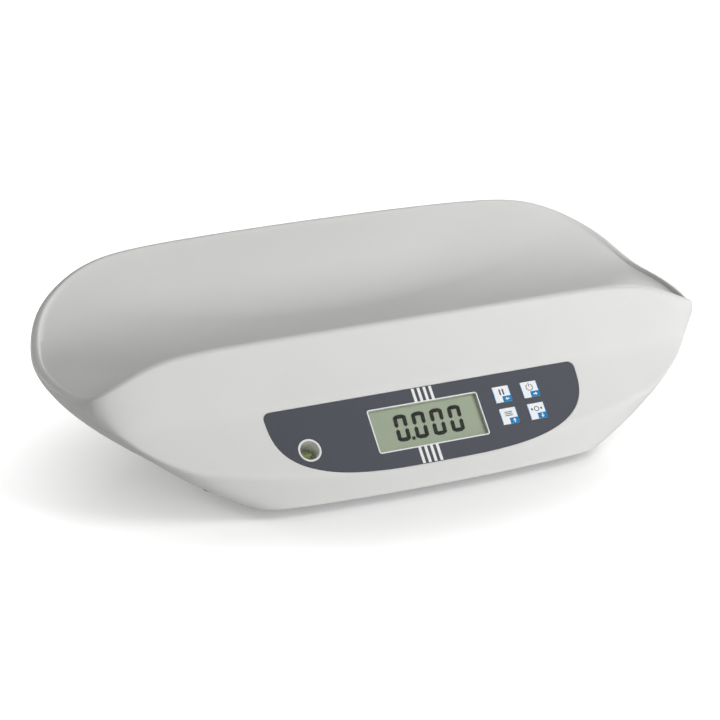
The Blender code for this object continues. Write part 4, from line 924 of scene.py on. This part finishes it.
    def port_cutter(self) -> bpy.types.Object:
        """A hidden tool that opens the back wall for the socket recess."""
        low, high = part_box("port_housing")
        grow = Vector((self.side_gap, 0, self.side_gap))
        low, high = low - grow - Vector((0, self.side_gap, 0)), high + grow
        high.y = self.hull.rim.back
        corners = [(x, y, z) for x in (low.x, high.x) for y in (low.y, high.y) for z in (low.z, high.z)]
        sides = [(0, 1, 3, 2), (4, 6, 7, 5), (0, 4, 5, 1), (2, 3, 7, 6), (0, 2, 6, 4), (1, 5, 7, 3)]
        return add_mesh("port_tool", corners, sides)

    def openings(self) -> list[Outline]:
        """The window's, keys' and level's openings, from the pieces that fill them."""
        found = []
        keys = [f"key_{key}" for key in KEYS]
        for node in ["display_window", *keys, "level_well"]:
            places = self.panel.of_node(node)
            front = places[places[:, 2] > -self.front_depth]
            found.append(convex_outline(front[:, :2], self.side_gap))
        return found

    def build(self) -> bpy.types.Object:
        """Builds the shell and cuts its openings.

        Returns:
            The shell.
        """
        angle = self.column_angles()
        outer = self.outer_rings(angle)
        lip = outer[-1]
        rings = self.inner_rings(angle, lip)[::-1] + outer
        rings += self.tray_rings(lip, 0.0, self.tray_rows)
        points, faces = stack_rings(rings)
        shell = make_piece(
            "moulded_shell", points, faces, WHITE_ABS, "tray", ["upper_shell"], SHELL_EDGE
        )
        foil = self.panel.of_node("panel_overlay")
        recess = convex_outline(foil[:, :2], self.foil_gap)
        depth = -float(foil[:, 2].min()) + self.foil_gap
        tools = [
            self.cutter("foil_tool", [recess], depth),
            self.cutter("opening_tool", self.openings(), self.wall + self.overrun),
            self.port_cutter(),
        ]
        for tool in tools:
            self.carve(shell, tool)
        smooth(shell.data, SHELL_EDGE)
        return shell

    def carve(self, shell: bpy.types.Object, tool: bpy.types.Object) -> None:
        """Cuts a tool's shape out of the shell for good and removes the tool."""
        step = shell.modifiers.new(tool.name, "BOOLEAN")
        step.operation = "DIFFERENCE"
        step.solver = "EXACT"
        step.object = tool
        bpy.context.view_layer.update()
        graph = bpy.context.evaluated_depsgraph_get()
        cut = bpy.data.meshes.new_from_object(shell.evaluated_get(graph))
        shell.modifiers.clear()
        shell.data = cut
        bpy.data.objects.remove(tool, do_unlink=True)


@dataclass
class PanelPrint:
    """What is printed on the foil: the line round the window, and plain stripes over and under it."""

    panel: PanelPlane
    line_width: float = 0.0011
    line_gap: float = 0.0001
    corner: float = 0.0018
    ink: float = 0.00006
    stripe_width: float = 0.0027
    stripe_pitch: float = 0.0056
    stripe_count: int = 4
    stripe_middles: tuple[float, float] = (0.0032, -0.0074)
    edge_gap: float = 0.0004

    def frame_line(self) -> list[Outline]:
        """The white line round the window, as plates along a rounded rectangle."""
        low, high = self.panel.extent("display_window")
        grow = self.line_gap + self.line_width / 2
        half = (high - low) / 2 + grow
        middle = (high + low) / 2
        path: Outline = []
        for quarter, (su, sv) in enumerate(((1, 1), (-1, 1), (-1, -1), (1, -1))):
            u = middle[0] + su * (half[0] - self.corner)
            v = middle[1] + sv * (half[1] - self.corner)
            path += arc(u, v, self.corner, 90 * quarter, 90 * quarter + 90, 6)
        return stroke(path + path[:1], self.line_width)

    def stripes(self) -> list[Outline]:
        """Even upright stripes between the window's line and the foil's edges."""
        low, high = self.panel.extent("display_window")
        foil_low, foil_high = self.panel.extent("panel_overlay")
        clear = self.line_gap + self.line_width
        spans = (
            (high[1] + clear, foil_high[1] - self.edge_gap),
            (foil_low[1] + self.edge_gap, low[1] - clear),
        )
        plates = []
        for middle, (start, end) in zip(self.stripe_middles, spans):
            for i in range(self.stripe_count):
                u = middle + (i - (self.stripe_count - 1) / 2) * self.stripe_pitch
                plates.append(rectangle(u, (start + end) / 2, self.stripe_width, end - start))
        return plates

    def build(self) -> None:
        """Prints both on the foil's face."""
        for name, outlines in (("window_line", self.frame_line()), ("panel_stripes", self.stripes())):
            points, faces = self.panel.prisms(outlines, 0.0, self.ink)
            make_piece(name, points, faces, WHITE_INK, "tray")
        dress("panel_overlay", SLATE_FOIL)


@dataclass
class DigitalDisplay:
    """The display: its glass, window and frame, and the lit segments of a reading of nought."""

    panel: PanelPlane
    height: float = 0.0252
    width: float = 0.0124
    pitch: float = 0.0175
    bar: float = 0.0037
    gap: float = 0.0006
    digits: int = 4
    tip_share: float = 0.45
    inset_share: float = 0.42
    slant: float = math.tan(math.radians(3.5))
    left: float = -0.0309
    middle_v: float = 0.0004
    point_size: float = 0.0030
    lift: float = 0.00005
    thickness: float = 0.00012

    def upright(self, u: float, low: float, high: float) -> Outline:
        """One standing segment with pointed ends."""
        tip = self.bar * self.tip_share
        return [
            (u, low + tip),
            (u + self.bar / 2, low),
            (u + self.bar, low + tip),
            (u + self.bar, high - tip),
            (u + self.bar / 2, high),
            (u, high - tip),
        ]

    def lying(self, v: float, left: float, right: float) -> Outline:
        """One lying segment with pointed ends."""
        tip = self.bar * self.tip_share
        return [
            (left, v + self.bar / 2),
            (left + tip, v),
            (right - tip, v),
            (right, v + self.bar / 2),
            (right - tip, v + self.bar),
            (left + tip, v + self.bar),
        ]

    def nought(self, left: float) -> list[Outline]:
        """The six segments of a nought.

        Args:
            left: The digit's left edge.

        Returns:
            Slanted outlines on the panel.
        """
        half = self.height / 2
        right = self.width - self.bar
        inset = self.bar * self.inset_share
        bars = [
            self.upright(0.0, self.gap, half - self.gap),
            self.upright(right, self.gap, half - self.gap),
            self.upright(0.0, -half + self.gap, -self.gap),
            self.upright(right, -half + self.gap, -self.gap),
            self.lying(half - self.bar, inset, self.width - inset),
            self.lying(-half, inset, self.width - inset),
        ]
        return [[(left + u + v * self.slant, self.middle_v + v) for u, v in bar] for bar in bars]

    def build(self) -> None:
        """Makes the segments, and dresses the glass, window and frame."""
        front = float(self.panel.extent("lcd_glass")[1][2])
        outlines: list[Outline] = []
        for place in range(self.digits):
            outlines += self.nought(self.left + place * self.pitch)
        point_u = self.left + (self.width + self.pitch) / 2 - self.height / 2 * self.slant
        point_v = self.middle_v - self.height / 2 + self.point_size / 2
        outlines.append(rectangle(point_u, point_v, self.point_size, self.point_size))
        points, faces = self.panel.prisms(outlines, front + self.lift, front + self.lift + self.thickness)
        make_piece("display_digits", points, faces, LCD_INK, "tray")
        dress("lcd_glass", LCD_GLASS)
        dress("lcd_frame", BLACK_NYLON)
        dress("display_window", CLEAR_WINDOW)


@dataclass
class Keypad:
    """The four keys with their printed signs, which go down with the keys."""

    panel: PanelPlane
    ink: float = 0.00005
    border: float = 0.0006
    mark_width: float = 0.0090
    mark_height: float = 0.0056
    line: float = 0.0007
    sign_size: float = 0.0056
    # The sign's middle over the key's, as a share of the key's height.
    sign_rise_share: float = 0.14
    face_depth: float = 0.0002
    # The signs' own measures, as shares of sign_size.
    bar_shares: tuple[float, float] = (0.28, 0.26)
    switch_shares: tuple[float, float, float] = (0.55, 0.1, 0.75)
    sheet_shares: tuple[float, float] = (0.3, 1.3)
    nought_shares: tuple[float, float, float, float] = (0.38, 0.55, 0.4, 0.25)
    # The arrow's half length as a share of the mark's height, and its outline in half lengths.
    arrow_size_share: float = 0.36
    arrow_shares: tuple[tuple[float, float], ...] = (
        (1.0, 0.0),
        (0.1, 0.8),
        (0.1, 0.28),
        (-1.0, 0.28),
        (-1.0, -0.28),
        (0.1, -0.28),
        (0.1, -0.8),
    )

    def sign(self, key: str, u: float, v: float) -> list[Outline]:
        """A plain sign for what a key does.

        Args:
            key: The key's short name.
            u: The sign's middle.
            v: The sign's middle.

        Returns:
            Outlines on the panel.
        """
        size = self.sign_size
        if key == "hold":
            away, width = (size * share for share in self.bar_shares)
            return [rectangle(u + side * away, v, width, size) for side in (-1, 1)]
        if key == "power":
            radius, low, high = (size * share for share in self.switch_shares)
            ring = stroke(arc(u, v, radius, 120, 420), self.line)
            return ring + stroke([(u, v + low), (u, v + high)], self.line)
        if key == "print":
            pitch, width = (size * share for share in self.sheet_shares)
            return [rectangle(u, v + pitch * k, width, self.line) for k in (-1, 0, 1)]
        radius, away, length, half = (size * share for share in self.nought_shares)
        ring = stroke(arc(u, v, radius, 0, 360), self.line)
        for side in (-1, 1):
            tip = u + side * away
            base = tip + side * length
            head = [(tip, v), (base, v + half), (base, v - half)]
            ring.append(head if side < 0 else head[::-1])
        return ring

    def arrow(self, way: Arrow, u: float, v: float) -> Outline:
        """A small arrow head with a stem, turned to point one way."""
        size = self.mark_height * self.arrow_size_share
        turn = math.radians(way.value)
        return [
            (
                u + size * (x * math.cos(turn) - y * math.sin(turn)),
                v + size * (x * math.sin(turn) + y * math.cos(turn)),
            )
            for x, y in self.arrow_shares
        ]

    def build(self) -> None:
        """Dresses the keys and prints their signs."""
        for key, way in KEYS.items():
            node, body = f"key_{key}", f"{key}_key"
            dress(node, KEY_PLASTIC)
            places = self.panel.of_node(node)
            top = float(places[:, 2].max())
            face = places[places[:, 2] > top - self.face_depth]
            low, high = face.min(axis=0), face.max(axis=0)
            middle = (low + high) / 2
            mark_u = high[0] - self.mark_width / 2
            mark_v = low[1] + self.mark_height / 2
            edge, top_v = self.border / 2, high[1] - self.border
            mark_top = mark_v + self.mark_height / 2
            left_height = high[1] - low[1] - 2 * self.border
            right_v, right_height = (mark_top + top_v) / 2, top_v - mark_top
            blue = [
                rectangle(mark_u, mark_v, self.mark_width, self.mark_height),
                rectangle(low[0] + edge, middle[1], self.border, left_height),
                rectangle(high[0] - edge, right_v, self.border, right_height),
            ]
            sign_v = middle[1] + (high[1] - low[1]) * self.sign_rise_share
            prints = (
                ("mark", blue, BLUE_INK, self.ink),
                ("sign", self.sign(key, middle[0], sign_v), GREY_INK, self.ink),
                ("arrow", [self.arrow(way, mark_u, mark_v)], WHITE_INK, 2 * self.ink),
            )
            for what, outlines, finish, height in prints:
                points, faces = self.panel.prisms(outlines, top, top + height)
                make_piece(f"{key}_key_{what}", points, faces, finish, body)
            dress(f"switch_{key}", BLACK_NYLON)


def turned_points(
    profile: Sequence[tuple[float, float]], centre: Vector, sides: int
) -> tuple[np.ndarray, list]:
    """Turns a profile round an upright axis.

    Args:
        profile: Radius and height pairs, with no point on the axis.
        centre: The axis's foot.
        sides: How many sides the turned piece has.

    Returns:
        Points and faces.
    """
    angle = np.linspace(0, 2 * math.pi, sides, endpoint=False)
    rings = [
        np.stack(
            [
                centre.x + radius * np.cos(angle),
                centre.y + radius * np.sin(angle),
                np.full(sides, centre.z + height),
            ],
            axis=1,
        )
        for radius, height in profile
    ]
    return stack_rings(rings)


@dataclass
class LevelWindow:
    """The bull's-eye level: its well, the green liquid, the clear dome and the circle on it."""

    panel: PanelPlane
    ring_width: float = 0.0010
    ring_ink: float = 0.00008
    wall: float = 0.0007
    front_depth: float = 0.001
    # Radius and height of each ring, as shares of the vial's.
    dome_shares: tuple[tuple[float, float], ...] = (
        (1.0, 0.0),
        (1.0, 0.8),
        (0.93, 0.92),
        (0.7, 1.0),
        (0.2, 1.0),
    )
    liquid_shares: tuple[tuple[float, float], ...] = ((1.0, 0.72), (0.9, 0.8), (0.2, 0.82))
    circle_radius: float = 0.0028
    circle_line: float = 0.0003
    circle_lift: float = 0.00002
    circle_ink: float = 0.00005
    sides: int = 48

    def build(self) -> None:
        """Makes the level's visible pieces inside the space of its CAD vial."""
        dress("level_well", WELL_NYLON)
        places = self.panel.of_node("level_well")
        front = places[places[:, 2] > -self.front_depth]
        middle = (front.min(axis=0) + front.max(axis=0)) / 2
        radius = float((front[:, 0].max() - front[:, 0].min()) / 2)
        path = arc(middle[0], middle[1], radius - self.ring_width / 2, 0, 360, 64)
        points, faces = self.panel.prisms(stroke(path, self.ring_width), 0.0, self.ring_ink)
        make_piece("level_ring", points, faces, WHITE_INK, "tray")
        low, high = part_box("level_vial")
        foot = Vector(((low.x + high.x) / 2, (low.y + high.y) / 2, low.z))
        size = (high.x - low.x) / 2
        height = high.z - low.z
        dome = [(size * r, height * z) for r, z in self.dome_shares]
        points, faces = turned_points(dome, foot, self.sides)
        make_piece("level_dome", points, faces, LEVEL_DOME, "tray", ["level_vial"])
        inner = size - self.wall
        liquid = [(inner * r, height * z) for r, z in self.liquid_shares]
        points, faces = turned_points([(inner, self.wall), *liquid], foot, self.sides)
        make_piece("level_liquid", points, faces, LEVEL_LIQUID, "tray")
        circle = stroke(arc(0.0, 0.0, self.circle_radius, 0, 360, 32), self.circle_line)
        place = Matrix.Translation(foot + Vector((0, 0, height)))
        points, faces = prisms(place, circle, self.circle_lift, self.circle_lift + self.circle_ink)
        make_piece("level_circle", points, faces, LCD_INK, "tray")


@dataclass
class LevellingFoot:
    """One rubber foot, turned with a worn edge and grip ribs round its side."""

    number: int
    body: str
    ribs: int = 24
    rib_depth: float = 0.0005
    rib_start: float = 0.0008
    rib_reach_share: float = 0.96
    sides: int = 96
    hole: float = 0.0033
    stud_gap: float = 0.0003
    edge_height: float = 0.001
    # Radius and height of each ring above the side, as shares of the pad's; then the sole's radii.
    upper_shares: tuple[tuple[float, float], ...] = ((0.80, 1.0), (0.84, 0.93), (0.985, 0.52), (1.0, 0.42))
    sole_shares: tuple[float, float] = (0.94, 0.30)

    def build(self) -> None:
        """Makes the foot in its CAD pad's place and dresses its stud."""
        node = f"foot_pad_{self.number}"
        low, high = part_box(node)
        foot = Vector(((low.x + high.x) / 2, (low.y + high.y) / 2, low.z))
        size, height = (high.x - low.x) / 2, high.z - low.z
        stud_low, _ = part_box(f"foot_stud_{self.number}")
        profile = [(self.hole, stud_low.z - low.z - self.stud_gap), (self.hole, height)]
        profile += [(size * r, height * z) for r, z in self.upper_shares]
        profile += [(size, self.edge_height), *((size * r, 0.0) for r in self.sole_shares)]
        points, faces = turned_points(profile, foot, self.sides)
        angle = np.arctan2(points[:, 1] - foot.y, points[:, 0] - foot.x)
        reach = np.hypot(points[:, 0] - foot.x, points[:, 1] - foot.y)
        side = (reach > size * self.rib_reach_share) & (points[:, 2] > foot.z + self.rib_start)
        wave = self.rib_depth * (0.5 - 0.5 * np.cos(self.ribs * angle))
        scale = np.where(side, 1 - wave / size, 1.0)
        points[:, 0] = foot.x + (points[:, 0] - foot.x) * scale
        points[:, 1] = foot.y + (points[:, 1] - foot.y) * scale
        make_piece(f"rubber_foot_{self.number}", points, faces, RUBBER, self.body, [node])
        dress(f"foot_stud_{self.number}", ZINC_STEEL)


@dataclass
class HiddenParts:
    """The pieces inside, underneath and at the back, which keep their CAD shapes."""

    finishes: dict[str, Finish] = field(
        default_factory=lambda: {
            "base_plate": GREY_ABS,
            "battery_bay": GREY_ABS,
            "battery_door": GREY_ABS,
            "port_housing": WHITE_ABS,
            "dc_socket": BLACK_NYLON,
            "data_socket": ZINC_STEEL,
            "main_board": SOLDER_MASK,
            "controller_chip": EPOXY,
            "lead_connector": WELL_NYLON,
            "tray_support": ZINC_STEEL,
            "overload_stop": ZINC_STEEL,
            "load_cell": MILLED_ALUMINIUM,
            "load_cell_lead": PVC,
        }
    )
    families: tuple[tuple[str, Finish], ...] = (
        ("board_screw_", ZINC_STEEL),
        ("shell_screw_", ZINC_STEEL),
        ("base_cell_screw_", ZINC_STEEL),
        ("tray_cell_screw_", ZINC_STEEL),
        ("contact_plate_", NICKEL),
        ("battery_", JACKET),
    )

    def build(self) -> None:
        """Dresses every remaining CAD node."""
        for node in sorted(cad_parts):
            if node.endswith("_spacer"):
                dress(node, MILLED_ALUMINIUM)
            elif node in self.finishes:
                dress(node, self.finishes[node])
            else:
                for start, finish in self.families:
                    if node.startswith(start):
                        dress(node, finish)
                        break


@dataclass
class Studio:
    """The photograph's camera, a pale floor with painted shade round the object, and soft studio light."""

    place: tuple[float, float, float] = (-0.8104, -1.7882, 0.8540)
    forward: tuple[float, float, float] = (0.3797, 0.8477, -0.3705)
    lens_mm: float = 115.0
    sensor_mm: float = 36.0
    floor_half: float = 6.0
    world_strength: float = 0.02
    floor_colour: str = "F2F2F1"
    # Painted shade on the floor: its glow for the camera is this low near the object and rises to 1 between
    # the inner and outer distances, over an ellipse set by the depth scale and centre.
    painted_shade_glow: float = 0.27
    painted_shade_inner: float = 0.20
    painted_shade_outer: float = 0.46
    painted_shade_depth_scale: float = 1.45
    painted_shade_centre_y: float = -0.03
    lamp_reach: float = 2.2
    aim: tuple[float, float, float] = (0.0, 0.0, 0.1)
    lamps: tuple[tuple[str, float, float, float, float], ...] = (
        ("front_box", 0.0, 20.0, 1.2, 9.4),
        ("left_box", -60.0, 30.0, 1.2, 2.4),
        ("low_right_box", 45.0, 20.0, 1.2, 13.2),
        ("high_right_box", 45.0, 45.0, 1.2, 18.4),
        ("back_left_box", -140.0, 7.0, 0.5, 13.0),
        ("back_right_box", 140.0, 7.0, 0.5, 13.0),
    )

    def camera(self) -> None:
        """Sets the camera at the photograph's place."""
        data = bpy.data.cameras.new("photo_camera")
        data.lens = self.lens_mm
        data.sensor_width = self.sensor_mm
        data.sensor_fit = "HORIZONTAL"
        data.clip_end = 50.0
        camera = add_object("photo_camera", data)
        ahead = Vector(self.forward).normalized()
        camera.rotation_mode = "QUATERNION"
        camera.rotation_quaternion = ahead.to_track_quat("-Z", "Y")
        camera.location = self.place
        bpy.context.scene.camera = camera

    def floor(self) -> None:
        """Lays a pale floor that shows white to the camera and keeps the shadow; its glow for the camera is
        lower near the object, which paints shade round the object's base.
        """
        half = self.floor_half
        corners = [(x, y, 0) for x, y in rectangle(0, 0, 2 * half, 2 * half)]
        floor = add_mesh("studio_floor", corners, [(0, 1, 2, 3)])
        made = bpy.data.materials.new("pale_floor_with_painted_shade")
        made.use_nodes = True
        tree = made.node_tree
        shader = tree.nodes["Principled BSDF"]
        shader.inputs["Base Color"].default_value = linear(self.floor_colour)
        shader.inputs["Roughness"].default_value = 0.9
        shader.inputs["Specular IOR Level"].default_value = 0.1
        rays = add_node(tree, "ShaderNodeLightPath")
        place = add_node(tree, "ShaderNodeTexCoord").outputs["Object"]
        depth = self.painted_shade_depth_scale
        near = add_node(
            tree,
            "ShaderNodeMapping",
            {"Scale": (1.0, depth, 1.0), "Location": (0.0, -depth * self.painted_shade_centre_y, 0.0)},
            {"Vector": place},
        ).outputs["Vector"]
        away = add_node(tree, "ShaderNodeVectorMath", {"operation": "LENGTH"}, {0: near})
        # Painted shade: the glow for the camera is lowest near the object, which darkens the floor round
        # its base.
        glow = add_node(
            tree,
            "ShaderNodeMapRange",
            {
                "interpolation_type": "SMOOTHSTEP",
                1: self.painted_shade_inner,
                2: self.painted_shade_outer,
                3: self.painted_shade_glow,
                4: 1.0,
            },
            {0: away.outputs["Value"]},
        ).outputs[0]
        seen = add_node(
            tree, "ShaderNodeMath", {"operation": "MULTIPLY"}, {0: rays.outputs["Is Camera Ray"], 1: glow}
        ).outputs[0]
        shader.inputs["Emission Color"].default_value = (1, 1, 1, 1)
        tree.links.new(seen, shader.inputs["Emission Strength"])
        floor.data.materials.append(made)

    def world(self) -> None:
        """Lights the scene evenly from all round, and shows white behind it."""
        world = bpy.data.worlds.new("studio_world")
        bpy.context.scene.world = world
        world.use_nodes = True
        tree = world.node_tree
        light = tree.nodes["Background"]
        light.inputs["Color"].default_value = (1, 1, 1, 1)
        rays = add_node(tree, "ShaderNodeLightPath")
        seen = add_node(
            tree,
            "ShaderNodeMath",
            {"operation": "MAXIMUM"},
            {0: rays.outputs["Is Camera Ray"], 1: rays.outputs["Is Glossy Ray"]},
        ).outputs[0]
        strength = add_node(
            tree, "ShaderNodeMapRange", {3: self.world_strength, 4: 1.0}, {0: seen}
        ).outputs[0]
        tree.links.new(strength, light.inputs["Strength"])

    def lamp(self, name: str, side: float, height: float, size: float, power: float) -> None:
        """Hangs one soft box, turned towards the object.

        Args:
            name: The lamp's name.
            side: Degrees round from the front, to the right.
            height: Degrees above the floor.
            size: Its side in metres.
            power: Its power in watts.
        """
        data = bpy.data.lights.new(name, "AREA")
        data.shape = "SQUARE"
        data.size = size
        data.energy = power
        lamp = add_object(name, data)
        round_by, up_by = math.radians(side), math.radians(height)
        across = math.cos(up_by)
        way = Vector((across * math.sin(round_by), -across * math.cos(round_by), math.sin(up_by)))
        lamp.location = Vector(self.aim) + self.lamp_reach * way
        lamp.rotation_euler = (-way).to_track_quat("-Z", "Y").to_euler()

    def build(self) -> None:
        """Sets up the camera, floor, world and lamps."""
        self.camera()
        self.floor()
        self.world()
        for lamp in self.lamps:
            self.lamp(*lamp)
        scene = bpy.context.scene
        scene.view_settings.view_transform = "Standard"


def main() -> None:
    """Builds every sub-assembly in order."""
    logging.basicConfig(level=logging.INFO, format="%(name)s: %(message)s")
    hull = HullForm()
    panel = PanelPlane(hull)
    Studio().build()
    TrayShell(hull, panel).build()
    PanelPrint(panel).build()
    DigitalDisplay(panel).build()
    Keypad(panel).build()
    LevelWindow(panel).build()
    bodies = ("front_left_foot", "front_right_foot", "back_left_foot", "back_right_foot")
    for number, body in enumerate(bodies, 1):
        LevellingFoot(number, body).build()
    HiddenParts().build()


if __name__ == "__main__":
    main()
